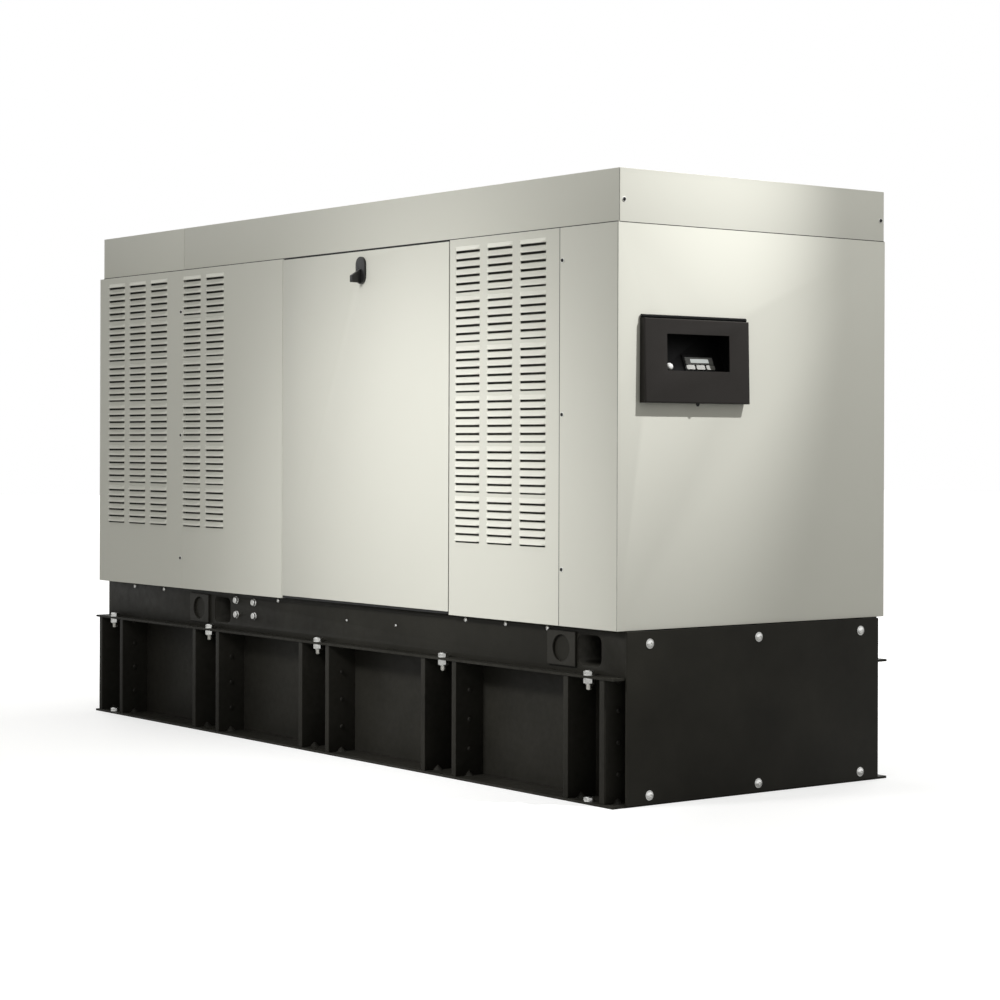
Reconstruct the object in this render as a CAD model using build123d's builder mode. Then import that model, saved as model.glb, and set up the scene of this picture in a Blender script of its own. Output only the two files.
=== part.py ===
"""Standby generator set: weather enclosure on a skid and a base fuel tank.

+Z is up, +X points to the control end and the front long side faces -Y.
The origin is on the ground, at the middle of the whole footprint. Sizes are in millimetres.
"""
from build123d import *
from math import cos, radians, sin, tan
import os

os.makedirs("parts", exist_ok=True)

# ---------------------------------------------------------------- driving dimensions
# Enclosure
body_width = 889.0
wall_height = 959.0
roof_height = 127.0
sheet = 2.0
fold = 20.0
shelf = 62.0
seam = 1.5
control_side_length = 220.0
right_louvre_length = 452.0
doorway_length = 805.0
left_louvre_length = 566.0
radiator_side_length = 529.0
body_length = (control_side_length + right_louvre_length + doorway_length
               + left_louvre_length + radiator_side_length)
roof_side_inset = 4.0
roof_end_inset = 18.0

# Louvres: pressed hoods in groups of six rows
hood_width = 106.0
hood_height = 12.0
hood_proud = 8.0
row_pitch = 20.32
rows_in_group = 6
group_pitch = 127.0
group_count = 6
first_row_drop = 31.0
column_pitch = 134.5
right_column_offset = 79.0
left_column_offset = 56.0
radiator_column_offset = 113.0

# Base tank and skid
tank_height = 305.0
plate = 6.0
tank_wall = 4.0
tank_width = 731.0
flange_proud = 12.0
gusset_inset = 4.0
gusset_plate = 5.0
gusset_lip = 18.0
gusset_spread = 136.0
gusset_first = 37.0
gusset_last = 33.0
gusset_pairs = 5
stub_up_length = 430.0
stub_up_margin = 45.0
tank_setback = 2.0
tank_end_inset = 14.0
neck_from_seam = 250.0
neck_from_rail = 119.0
neck_radius = 38.0
neck_wall = 4.0
neck_length = 170.0
rail_height = 110.0
rail_flange = 50.0
rail_web = 6.0
rail_inset = 25.5
rail_end_inset = 17.0
lifting_pad_length = 109.0
lifting_pad_height = 84.0
lifting_pad_plate = 6.0
lifting_hole_radius = 32.0
lifting_pad_starts = (180.0, 1918.0)
rigging_slot_length = 90.0
rigging_slot_height = 78.0
rigging_slot_corner = 20.0
rigging_slot_starts = (88.0, 1800.0)
tie_down_radius = 8.0
tie_down_inset = 14.0
end_cover_width = 839.0
end_cover_height = 409.0
end_cover_plate = 6.0
end_cover_drop = 2.0
end_cover_corner = 4.0

# Air outlet in the radiator end
outlet_width = 720.0
outlet_sill = 90.0
outlet_height = 760.0
outlet_frame = 6.0
vane_count = 19
vane_depth = 34.0
vane_sheet = 3.0
vane_start = 4.0

# Doors and latches
door_gap = 3.0
door_drop = 8.0
door_fold = 19.5
frame_rim = 40.0
frame_sheet = 2.5
frame_depth = 26.0
rest_tab_length = 60.0
rest_tab_inset = 100.0
rest_tab_lap = 3.0
latch_width = 42.0
latch_height = 73.0
latch_proud = 7.0
latch_drop = 54.5
latch_boss_margin = 6.5
spindle_radius = 6.0
spindle_drop = 15.0
running_gap = 0.05
wing_thickness = 11.0
wing_height = 36.0
wing_proud = 28.0

# Control cover, control box and keys
cover_width = 334.0
cover_height = 200.0
cover_from_front = 66.0
cover_bottom = 536.0
cover_top_depth = 18.0
cover_bottom_depth = 23.0
cover_wall = 3.0
window_width = 199.0
window_height = 87.0
window_from_side = 69.0
window_rise = 77.0
hinge_radius = 4.0
hinge_pin_radius = 2.0
hinge_knuckle = 60.0
hinge_leaf = 4.0
hinge_stand_off = 1.0
knuckle_spread = 190.0
cover_corner = 4.0
moving_gap = 0.5
recess_margin = 32.0
recess_top = 725.0
recess_bottom = 575.0
box_depth = 150.0
box_wall = 6.0
panel_slope = 22.0
panel_setback = 20.0
bezel_width = 98.0
bezel_height = 52.0
bezel_proud = 4.0
bezel_rise = 44.0
bezel_from_front = 283.5
key_width = 27.0
key_height = 12.0
key_proud = 3.0
key_pitch = 32.0
key_rise = 35.5
key_travel = 1.5
key_corner = 2.0
lamp_radius = 9.5
lamp_proud = 6.0
lamp_bevel = 2.0
lamp_rise = 36.5
lamp_from_front = 177.5
slope_lift = 14.0

# Engine, generator, radiator
shaft_height = 680.0
radiator_gap = 10.0
core_thickness = 70.0
radiator_width = 760.0
radiator_height = 840.0
header_height = 80.0
side_channel = 45.0
shroud_depth = 55.0
shroud_width = 630.0
fan_radius = 285.0
fan_clearance = 10.0
fan_depth = 46.0
fan_blades = 6
fan_hub_radius = 70.0
fan_shaft_radius = 14.0
fan_to_core = 25.0
fan_to_cover = 75.0
block_length = 600.0
block_width = 300.0
deck_width = 230.0
skirt_depth = 70.0
deck_height = 290.0
front_cover = 45.0
head_height = 100.0
valve_cover_height = 80.0
pan_depth = 150.0
flywheel_housing_length = 90.0
flywheel_housing_width = 460.0
generator_length = 560.0
generator_width = 430.0
generator_bore = 150.0
rotor_gap = 2.0
rotor_length = 380.0
shaft_radius = 30.0
end_bell = 60.0
end_bell_step = 20.0
end_bell_proud = 30.0
rotor_inset = 60.0
rotor_pole = 266.4
rotor_pole_gap = 30.0
rotor_end_gap = 1.0
rotor_tail = 19.0
crank_pulley_radius = 85.0
fan_pulley_radius = 75.0
charge_pulley_radius = 34.0
pulley_width = 24.0
belt_thickness = 6.0
fan_rise = 180.0
cross_width = 110.0
isolator_length = 80.0
isolator_width = 60.0
isolator_height = 55.0
isolator_waist = 8.0
engine_mount_inset = 90.0
engine_mount_y = 215.0
engine_foot_length = 70.0
engine_foot_lap = 20.0
engine_foot_reach = 30.0
engine_foot_web = 40.0
generator_mount_inset = 347.2
generator_mount_y = 175.0
generator_foot_length = 120.0
generator_foot_lap = 45.0
generator_foot_reach = 35.0
generator_foot_web = 20.0
generator_foot_top = 120.0
foot_plate = 14.0
crankcase_top = 60.0
crankcase_neck = 110.0
rib_width = 16.0
rib_proud = 12.0
rib_foot = 100.0
rib_drop = 20.0
cylinder_count = 4
timing_width = 260.0
timing_height = 90.0
pump_width = 140.0
pump_height = 50.0
head_inset = 5.0
head_corner = 12.0
valve_cover_length = 570.0
valve_cover_width = 180.0
valve_cover_corner = 25.0
valve_cover_edge = 6.0
valve_cover_draft = 8.0
pan_flange = 12.0
pan_flange_length = 590.0
pan_flange_width = 256.0
pan_length = 550.0
pan_width = 220.0
pan_corner = 30.0
pan_draft = 10.0
starter_gap = 4.0
starter_lift = 20.0
intake_length = 520.0
intake_width = 60.0
intake_height = 70.0
intake_gap = 30.0
intake_lift = 5.0
intake_corner = 14.0
intake_runner = 50.0
intake_runner_lap = 10.0
exhaust_length = 500.0
exhaust_width = 64.0
exhaust_height = 56.0
exhaust_from_head = 70.0
exhaust_corner = 16.0
exhaust_runner = 48.0
exhaust_runner_lap = 12.0
outlet_flange = 90.0
outlet_flange_top = 45.0
outlet_flange_foot = 20.0
crank_stub_radius = 22.0
stub_length = 30.0
pulley_stand_off = 12.0
starter_radius = 44.0
starter_length = 190.0
pipe_radius = 30.0
pipe_level = 1330.0
muffler_x = -1040.0
muffler_z = 1120.0
muffler_length = 620.0
muffler_width = 280.0
muffler_height = 220.0
tail_pipe_radius = 26.0
tail_pipe_gap = 12.0
hanger_inset = 60.0
hanger_width = 40.0
hanger_strap = 6.0
blade_angle = 32.0
blade_root = 60.0
blade_tip = 80.0
blade_sheet = 4.0
blade_lap = 10.0
charge_y = 215.0
charge_above_shaft = 130.0
charge_radius = 62.0
charge_length = 120.0
charge_shaft_radius = 9.0
charge_shaft_length = 60.0
charge_gap = 4.0
charge_lug = 28.0
charge_lug_height = 30.0
charge_lug_lap = 32.0
shaft_end_gap = 2.0
belt_inset = 2.0
core_recess = 8.0
neck_side = 120.0
cap_neck_radius = 24.0
cap_neck_height = 22.0
cap_gap = 0.3
radiator_cap_overhang = 8.0
radiator_cap_grip = 14.0
radiator_cap_height = 14.0
fuel_cap_overhang = 8.0
fuel_cap_height = 22.0
cleaner_radius = 90.0
cleaner_length = 330.0
cleaner_offset = -25.0
battery_length = 240.0
battery_width = 165.0
battery_height = 215.0
battery_lid = 20.0
battery_lid_lap = 4.0
battery_from_crossmember = 30.0
battery_from_rail = 6.0
terminal_inset = 35.0
terminal_from_side = 40.0
terminal_radius = 9.0
terminal_height = 16.0
breaker_length = 180.0
breaker_depth = 150.0
breaker_height = 220.0
handle_pin_radius = 4.0
handle_pin_length = 60.0
handle_pin_depth = 15.0
handle_reach = 46.0
handle_root = 8.0
handle_tip = 22.0
handle_width = 24.0
breaker_inset = 190.0
breaker_offset = 60.0
pocket_width = 40.0
pocket_depth = 30.0
pocket_height = 80.0

# ---------------------------------------------------------------- places that follow
cover_proud = cover_bottom_depth
overall_length = body_length + cover_proud
control_end = overall_length / 2 - cover_proud
radiator_end = control_end - body_length
seam_control = control_end - control_side_length
seam_right = seam_control - right_louvre_length
seam_left = seam_right - doorway_length
seam_radiator = seam_left - left_louvre_length
front_face = -body_width / 2
fold_face = front_face + fold

base_height = tank_height + rail_height
wall_top = base_height + wall_height
roof_top = wall_top + roof_height

flange_edge = -(body_width / 2 + flange_proud)
tank_left = radiator_end + tank_setback
tank_face = -tank_width / 2
rail_face = front_face + rail_inset
tie_down_y = -(body_width / 2 + flange_proud - tie_down_inset)
gusset_pitch = (control_end - gusset_first - gusset_spread - tank_left - gusset_last) / (gusset_pairs - 1)


# ---------------------------------------------------------------- helpers
def save(piece, name):
    """Label a finished piece and write it."""
    piece.part.label = name
    export_step(piece.part, f"parts/{name}.step")


def block(x_range, y_range, z_range, mode=Mode.ADD):
    """A rectangular block between three pairs of limits, in the part being built."""
    spans = [sorted(pair) for pair in (x_range, y_range, z_range)]
    centre = [(low + high) / 2 for low, high in spans]
    sizes = [high - low for low, high in spans]
    with Locations(tuple(centre)):
        Box(*sizes, mode=mode)


def save_pair(piece, front_name, rear_name):
    """Write a front piece and its mirror copy on the rear side."""
    save(piece, front_name)
    with BuildPart() as twin:
        add(mirror(piece.part, about=Plane.XZ, mode=Mode.PRIVATE))
    save(twin, rear_name)


def gusset_places():
    """Left and right web faces of each pair of gussets, from the control end."""
    first_right = control_end - gusset_first
    rights = [first_right - n * gusset_pitch for n in range(gusset_pairs)]
    return [(right - gusset_spread, right) for right in rights]


pair_middles = [(left + right) / 2 for left, right in gusset_places()]

# ---------------------------------------------------------------- base tank
stub_up_left = control_end - stub_up_length
with BuildPart() as tank_bottom_plate:
    block((tank_left, control_end), (flange_edge, -flange_edge), (0, plate))
    block((stub_up_left + stub_up_margin, control_end - stub_up_margin),
          (tank_face + stub_up_margin, -tank_face - stub_up_margin), (0, plate), Mode.SUBTRACT)
    with Locations(*[(x, y, 0) for x in pair_middles for y in (tie_down_y, -tie_down_y)]):
        Hole(tie_down_radius, depth=plate + 1)
save(tank_bottom_plate, "tank_bottom_plate")

wall_bottom = plate
wall_end = tank_height - plate
with BuildPart() as tank_walls:
    block((tank_left + tank_end_inset, control_end), (tank_face, -tank_face), (wall_bottom, wall_end))
    block((tank_left + tank_end_inset + tank_wall, stub_up_left - tank_wall),
          (tank_face + tank_wall, -tank_face - tank_wall), (wall_bottom, wall_end), Mode.SUBTRACT)
    block((stub_up_left, control_end),
          (tank_face + tank_wall, -tank_face - tank_wall), (wall_bottom, wall_end), Mode.SUBTRACT)
save(tank_walls, "tank_walls")

# Fill neck on the top plate, inside the enclosure beside the front rail
neck_x = seam_right - neck_from_seam
neck_y = rail_face + rail_flange + neck_from_rail
neck_top = tank_height + neck_length
with BuildPart() as tank_top_plate:
    block((tank_left, control_end), (flange_edge, -flange_edge), (wall_end, tank_height))
    block((stub_up_left + stub_up_margin, control_end - stub_up_margin),
          (tank_face + stub_up_margin, -tank_face - stub_up_margin),
          (wall_end, tank_height), Mode.SUBTRACT)
    with Locations(*[(x, y, tank_height) for x in pair_middles for y in (tie_down_y, -tie_down_y)]):
        Hole(tie_down_radius, depth=plate + 1)
    with BuildSketch(Plane.XY.offset(tank_height)):
        with Locations((neck_x, neck_y)):
            Circle(neck_radius)
    extrude(amount=neck_top - tank_height)
    with Locations((neck_x, neck_y, neck_top)):
        Hole(neck_radius - neck_wall, depth=neck_top - wall_end + 1)
save(tank_top_plate, "tank_top_plate")


def gusset_row():
    """Welded L-shaped stiffeners in pairs along one long side of the tank."""
    outer = flange_edge + gusset_inset
    with BuildPart() as row:
        with BuildSketch(Plane.XY.offset(wall_bottom)):
            for pair in gusset_places():
                for web in pair:
                    with BuildLine():
                        Polyline((web, tank_face), (web, outer), (web - gusset_lip, outer),
                                 (web - gusset_lip, outer + gusset_plate),
                                 (web - gusset_plate, outer + gusset_plate),
                                 (web - gusset_plate, tank_face), close=True)
                    make_face()
        extrude(amount=wall_end - wall_bottom)
    return row


save_pair(gusset_row(), "gussets_front", "gussets_rear")

with BuildPart() as stub_up_cover:
    cover_top = base_height - end_cover_drop
    block((control_end, control_end + end_cover_plate), (-end_cover_width / 2, end_cover_width / 2),
          (cover_top - end_cover_height, cover_top))
    corners = stub_up_cover.edges().filter_by(Axis.X)
    fillet(corners, end_cover_corner)
save(stub_up_cover, "stub_up_cover")


# ---------------------------------------------------------------- skid
def skid_rail():
    """A channel along one side, open inwards, with lifting pads and rigging slots."""
    low, high = tank_height, base_height
    with BuildPart() as rail:
        with BuildSketch(Plane.YZ.offset(radiator_end + rail_end_inset)):
            with BuildLine():
                Polyline((rail_face, low), (rail_face + rail_flange, low),
                         (rail_face + rail_flange, low + rail_web),
                         (rail_face + rail_web, low + rail_web),
                         (rail_face + rail_web, high - rail_web),
                         (rail_face + rail_flange, high - rail_web),
                         (rail_face + rail_flange, high), (rail_face, high), close=True)
            make_face()
        extrude(amount=body_length - rail_end_inset)
        middle = low + rail_height / 2
        with BuildSketch(Plane.XZ.offset(-rail_face)):
            for start in lifting_pad_starts:
                with Locations((control_end - start - lifting_pad_length / 2, middle)):
                    Rectangle(lifting_pad_length, lifting_pad_height)
                    Circle(lifting_hole_radius, mode=Mode.SUBTRACT)
        extrude(amount=lifting_pad_plate)
        with BuildSketch(Plane.XZ.offset(-rail_face)):
            for start in rigging_slot_starts:
                with Locations((control_end - start - rigging_slot_length / 2, middle)):
                    RectangleRounded(rigging_slot_length, rigging_slot_height, rigging_slot_corner)
        extrude(amount=-rail_web, mode=Mode.SUBTRACT)
    return rail


save_pair(skid_rail(), "skid_rail_front", "skid_rail_rear")


def crossmember(middle):
    """An inverted U between the two rails, under a pair of isolators."""
    low, high = tank_height + rail_web, base_height - rail_web
    left, right = middle - cross_width / 2, middle + cross_width / 2
    inner = -(rail_face + rail_web)
    with BuildPart() as member:
        with BuildSketch(Plane.XZ):
            with BuildLine():
                Polyline((left, low), (left, high), (right, high), (right, low),
                         (right - rail_web, low), (right - rail_web, high - rail_web),
                         (left + rail_web, high - rail_web), (left + rail_web, low), close=True)
            make_face()
        extrude(amount=inner, both=True)
    return member


# Positions of the machine along the set, from the radiator to the generator's end
core_front = seam_radiator + radiator_gap
core_back = core_front + core_thickness
fan_front = core_back + fan_to_core
fan_back = fan_front + fan_depth
engine_front = fan_back + fan_to_cover
block_front = engine_front + front_cover
block_back = block_front + block_length
housing_back = block_back + flywheel_housing_length
generator_end = housing_back + generator_length
fan_centre = shaft_height + fan_rise
mount_top = base_height - rail_web
isolator_top = mount_top + isolator_height
engine_mount_x = block_front + engine_mount_inset
generator_mount_x = housing_back + generator_mount_inset

save(crossmember(engine_mount_x), "engine_crossmember")
save(crossmember(generator_mount_x), "generator_crossmember")

with BuildPart() as vibration_isolators:
    for mount_x, mount_y in ((engine_mount_x, engine_mount_y), (generator_mount_x, generator_mount_y)):
        for y in (-mount_y, mount_y):
            with BuildSketch(Plane.XY.offset(mount_top)):
                with Locations((mount_x, y)):
                    Rectangle(isolator_length, isolator_width)
            with BuildSketch(Plane.XY.offset(mount_top + isolator_height / 2)):
                with Locations((mount_x, y)):
                    Rectangle(isolator_length - 2 * isolator_waist, isolator_width - 2 * isolator_waist)
            with BuildSketch(Plane.XY.offset(isolator_top)):
                with Locations((mount_x, y)):
                    Rectangle(isolator_length, isolator_width)
            loft(ruled=True)
save(vibration_isolators, "vibration_isolators")


# ---------------------------------------------------------------- enclosure panels
def folded_panel(left, right, column_middles=()):
    """A side panel: folded sheet with a shelf at the foot and the head, and louvre columns."""
    with BuildPart() as panel:
        with BuildSketch(Plane.XY.offset(base_height)):
            with BuildLine():
                Polyline((left, fold_face), (left, front_face), (right, front_face), (right, fold_face),
                         (right - sheet, fold_face), (right - sheet, front_face + sheet),
                         (left + sheet, front_face + sheet), (left + sheet, fold_face), close=True)
            make_face()
        extrude(amount=wall_height)
        for level in (base_height, wall_top - sheet):
            block((left, right), (front_face, front_face + shelf), (level, level + sheet))
        if column_middles:
            first_row = wall_top - first_row_drop
            with BuildSketch(*[Plane.YZ.offset(x) for x in column_middles]):
                for group in range(group_count):
                    for row in range(rows_in_group):
                        lip = first_row - group * group_pitch - row * row_pitch
                        with Locations((front_face, lip)):
                            Polygon((sheet / 2, 0), (-hood_proud, 0), (0, hood_height),
                                    (sheet / 2, hood_height), align=None)
            extrude(amount=hood_width / 2, both=True)
    return panel


def columns(first, count):
    """Middles of evenly spaced louvre columns."""
    return [first + n * column_pitch for n in range(count)]


right_columns = columns(seam_right + right_column_offset, 3)
left_columns = columns(seam_radiator + left_column_offset, 2)
radiator_columns = columns(radiator_end + radiator_column_offset, 3)
gap = seam / 2
save_pair(folded_panel(radiator_end + sheet, seam_radiator - gap, radiator_columns),
          "radiator_side_front", "radiator_side_rear")
save_pair(folded_panel(seam_radiator + gap, seam_left - gap, left_columns),
          "louvre_panel_front_left", "louvre_panel_rear_left")
save_pair(folded_panel(seam_right + gap, seam_control - gap, right_columns),
          "louvre_panel_front_right", "louvre_panel_rear_right")
save_pair(folded_panel(seam_control + gap, control_end - sheet),
          "control_side_front", "control_side_rear")


# ---------------------------------------------------------------- doors, frames and latches
door_left = seam_left + door_gap
door_right = seam_right - door_gap
door_low = base_height + door_drop
door_high = wall_top - door_gap
door_inner = front_face + door_fold
latch_x = (door_left + door_right) / 2
latch_z = wall_top - latch_drop
spindle_z = latch_z - spindle_drop
boss_width = latch_width - 2 * latch_boss_margin
boss_height = latch_height - 2 * latch_boss_margin


def door():
    """A lift-out door: a skin folded back on all four edges, cut for its latch."""
    with BuildPart() as leaf:
        block((door_left, door_right), (front_face, door_inner), (door_low, door_high))
        block((door_left + sheet, door_right - sheet), (front_face + sheet, door_inner),
              (door_low + sheet, door_high - sheet), Mode.SUBTRACT)
        block((latch_x - boss_width / 2, latch_x + boss_width / 2), (front_face, front_face + sheet),
              (latch_z - boss_height / 2, latch_z + boss_height / 2), Mode.SUBTRACT)
    return leaf


def latch_body():
    """An oblong latch housing on the door skin, with a boss behind that carries the spindle."""
    with BuildPart() as body:
        with BuildSketch(Plane.XZ.offset(-front_face)):
            with Locations((latch_x, latch_z)):
                SlotOverall(latch_height, latch_width, rotation=90)
        extrude(amount=latch_proud)
        block((latch_x - boss_width / 2, latch_x + boss_width / 2), (front_face, door_inner),
              (latch_z - boss_height / 2, latch_z + boss_height / 2))
        with BuildSketch(Plane.XZ.offset(-door_inner)):
            with Locations((latch_x, spindle_z)):
                Circle(spindle_radius + running_gap)
        extrude(amount=door_fold + latch_proud, mode=Mode.SUBTRACT)
    return body


def latch_wing():
    """The turning handle: a wing that stands out from the housing, on a spindle."""
    back = front_face - latch_proud - moving_gap
    with BuildPart() as wing:
        with BuildSketch(Plane.YZ.offset(latch_x)):
            with Locations((back, spindle_z)):
                Polygon((0, wing_height / 2), (-wing_proud, 0), (-wing_proud, -wing_height / 2),
                        (0, -wing_height / 2), align=None)
        extrude(amount=wing_thickness / 2, both=True)
        with BuildSketch(Plane.XZ.offset(-back)):
            with Locations((latch_x, spindle_z)):
                Circle(spindle_radius)
        extrude(amount=-(door_inner - back))
    return wing


def door_frame():
    """A folded ring behind the doorway, with two tabs under the door's foot."""
    left, right = seam_left - frame_rim / 2, seam_right + frame_rim / 2
    low, high = base_height + sheet, wall_top - sheet
    with BuildPart() as ring:
        block((left, right), (fold_face, fold_face + frame_depth), (low, high))
        block((left, right), (fold_face + frame_sheet, fold_face + frame_depth),
              (low, high), Mode.SUBTRACT)
        block((left + frame_rim - frame_sheet, right - frame_rim + frame_sheet),
              (fold_face, fold_face + frame_depth), (low + frame_rim - frame_sheet,
              high - frame_rim + frame_sheet))
        block((left + frame_rim, right - frame_rim), (fold_face, fold_face + frame_depth),
              (low + frame_rim, high - frame_rim), Mode.SUBTRACT)
        for x in (door_left + rest_tab_inset, door_right - rest_tab_inset):
            block((x - rest_tab_length / 2, x + rest_tab_length / 2), (fold_face, front_face + rest_tab_lap),
                  (low, door_low - moving_gap))
    return ring


save_pair(door(), "front_door", "rear_door")
save_pair(latch_body(), "front_latch_body", "rear_latch_body")
save_pair(latch_wing(), "front_latch_wing", "rear_latch_wing")
save_pair(door_frame(), "door_frame_front", "door_frame_rear")

# ---------------------------------------------------------------- end panels and roof
cover_left = front_face + cover_from_front
cover_right = cover_left + cover_width
cover_low = base_height + cover_bottom
cover_high = cover_low + cover_height
hinge_x = control_end + hinge_radius + hinge_stand_off
hinge_z = cover_high + hinge_radius + moving_gap
cutout = ((cover_left + recess_margin, cover_right - recess_margin),
          (base_height + recess_bottom, base_height + recess_top))
cover_middle = (cover_left + cover_right) / 2
knuckle_middles = (cover_middle - knuckle_spread / 2, cover_middle + knuckle_spread / 2)
with BuildPart() as control_end_panel:
    block((control_end - sheet, control_end), (front_face, -front_face), (base_height, wall_top))
    block((control_end - sheet, control_end), *cutout, Mode.SUBTRACT)
    for level in (base_height, wall_top - sheet):
        block((control_end - fold, control_end), (front_face + shelf, -front_face - shelf),
              (level, level + sheet))
    for y in knuckle_middles:
        block((control_end, hinge_x), (y - hinge_knuckle / 2, y + hinge_knuckle / 2),
              (hinge_z - hinge_leaf / 2, hinge_z + hinge_leaf / 2))
        with BuildSketch(Plane.XZ.offset(-y)):
            with Locations((hinge_x, hinge_z)):
                Circle(hinge_radius)
        extrude(amount=hinge_knuckle / 2, both=True)
    with BuildSketch(Plane.XZ.offset(-cover_middle)):
        with Locations((hinge_x, hinge_z)):
            Circle(hinge_pin_radius)
    extrude(amount=cover_width / 2, both=True)
save(control_end_panel, "control_end_panel")

outlet_bottom = base_height + outlet_sill
with BuildPart() as radiator_end_panel:
    block((radiator_end, radiator_end + sheet), (front_face, -front_face), (base_height, wall_top))
    for level in (base_height, wall_top - sheet):
        block((radiator_end, radiator_end + fold), (front_face + shelf, -front_face - shelf),
              (level, level + sheet))
    block((radiator_end, radiator_end + vane_depth), (-outlet_width / 2, outlet_width / 2),
          (outlet_bottom, outlet_bottom + outlet_height))
    block((radiator_end, radiator_end + vane_depth),
          (-outlet_width / 2 + outlet_frame, outlet_width / 2 - outlet_frame),
          (outlet_bottom + outlet_frame, outlet_bottom + outlet_height - outlet_frame), Mode.SUBTRACT)
    vane_pitch = outlet_height / vane_count
    with BuildSketch(Plane.XZ):
        for n in range(vane_count - 1):
            foot = outlet_bottom + outlet_frame + n * vane_pitch + vane_start
            with Locations((radiator_end, foot)):
                Polygon((0, 0), (vane_depth, vane_depth), (vane_depth, vane_depth + vane_sheet),
                        (0, vane_sheet), align=None)
    extrude(amount=outlet_width / 2 - outlet_frame, both=True)
save(radiator_end_panel, "radiator_end_panel")


def roof_tray(left, right):
    """A roof piece: a deep tray turned over, with a rim that rests on the side panels."""
    half = body_width / 2 - roof_side_inset
    with BuildPart() as tray:
        block((left, right), (-half, half), (wall_top, roof_top))
        block((left + sheet, right - sheet), (-half + sheet, half - sheet),
              (wall_top + sheet, roof_top - sheet), Mode.SUBTRACT)
        block((left + fold, right - fold), (-half + fold, half - fold),
              (wall_top, wall_top + sheet), Mode.SUBTRACT)
    return tray


save(roof_tray(seam_radiator + gap, control_end), "roof_main")
save(roof_tray(radiator_end + roof_end_inset, seam_radiator - gap), "roof_end")

# ---------------------------------------------------------------- control cover and box
window_left = cover_left + window_from_side
window_low = cover_low + window_rise
cover_back = control_end + moving_gap
with BuildPart() as control_cover:
    with BuildSketch(Plane.XZ.offset(-cover_middle)):
        Polygon((cover_back, cover_low), (control_end + cover_bottom_depth, cover_low),
                (control_end + cover_top_depth, cover_high), (cover_back, cover_high), align=None)
    extrude(amount=cover_width / 2, both=True)
    front_edges = control_cover.faces().sort_by(Axis.X)[-1].edges()
    fillet(front_edges, cover_corner)
    with BuildSketch(Plane.XZ.offset(-cover_middle)):
        Polygon((cover_back, cover_low + cover_wall),
                (control_end + cover_bottom_depth - cover_wall, cover_low + cover_wall),
                (control_end + cover_top_depth - cover_wall, cover_high - cover_wall),
                (cover_back, cover_high - cover_wall), align=None)
    extrude(amount=cover_width / 2 - cover_wall, both=True, mode=Mode.SUBTRACT)
    block((cover_back, control_end + cover_bottom_depth + 1),
          (window_left, window_left + window_width), (window_low, window_low + window_height),
          Mode.SUBTRACT)
    limits = [cover_left, *[y + step for y in knuckle_middles
              for step in (-hinge_knuckle / 2 - moving_gap, hinge_knuckle / 2 + moving_gap)], cover_right]
    for start, stop in zip(limits[::2], limits[1::2]):
        block((hinge_x - hinge_leaf / 2, hinge_x + hinge_leaf / 2), (start, stop),
              (cover_high - cover_wall / 2, hinge_z))
        with BuildSketch(Plane.XZ.offset(-(start + stop) / 2)):
            with Locations((hinge_x, hinge_z)):
                Circle(hinge_radius)
        extrude(amount=(stop - start) / 2, both=True)
    with BuildSketch(Plane.XZ.offset(-cover_middle)):
        with Locations((hinge_x, hinge_z)):
            Circle(hinge_pin_radius + running_gap)
    extrude(amount=cover_width / 2 + 1, both=True, mode=Mode.SUBTRACT)
save(control_cover, "control_cover")

# The sloped face looks outwards and up; its lower edge lies just behind the end panel
slope = radians(panel_slope)
box_front = control_end - sheet
box_low = base_height + recess_bottom - box_wall
box_high = base_height + recess_top + box_wall
box_left, box_right = cutout[0][0] - box_wall, cutout[0][1] + box_wall
slope_foot = (control_end - panel_setback, box_low + box_wall + slope_lift)
slope_rise = box_high - box_wall - slope_foot[1]
bezel_y = front_face + bezel_from_front
bezel_plane = Plane(origin=(slope_foot[0], bezel_y, slope_foot[1]), x_dir=(0, 1, 0),
                    z_dir=(cos(slope), 0, sin(slope)))
with BuildPart() as control_box:
    block((box_front - box_depth, box_front), (box_left, box_right), (box_low, box_high))
    with BuildSketch(Plane.XZ.offset(-(box_left + box_right) / 2)):
        Polygon((box_front, box_low + box_wall), (slope_foot[0], box_low + box_wall), slope_foot,
                (slope_foot[0] - slope_rise * tan(slope), box_high - box_wall),
                (box_front, box_high - box_wall), align=None)
    extrude(amount=(box_right - box_left) / 2 - box_wall, both=True, mode=Mode.SUBTRACT)
    with BuildSketch(bezel_plane):
        with Locations((0, bezel_rise)):
            Rectangle(bezel_width, bezel_height)
        with Locations(*[(n * key_pitch, key_rise) for n in (-1, 0, 1)]):
            Rectangle(key_width + 2 * moving_gap, key_height + 2 * moving_gap, mode=Mode.SUBTRACT)
    extrude(amount=bezel_proud)
save(control_box, "control_box")

for n, name in ((-1, "key_left"), (0, "key_middle"), (1, "key_right")):
    with BuildPart() as key:
        with BuildSketch(bezel_plane.offset(moving_gap + key_travel)) as key_face:
            with Locations((n * key_pitch, key_rise)):
                Rectangle(key_width, key_height)
            chamfer(key_face.vertices(), key_corner)
        extrude(amount=bezel_proud + key_proud - moving_gap - key_travel)
    save(key, name)

with BuildPart() as status_lamp:
    with BuildSketch(bezel_plane):
        with Locations((front_face + lamp_from_front - bezel_y, lamp_rise)):
            Circle(lamp_radius)
    extrude(amount=lamp_proud)
    chamfer(status_lamp.faces().sort_by(Axis.X)[-1].edges(), lamp_bevel)
save(status_lamp, "status_lamp")

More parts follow.
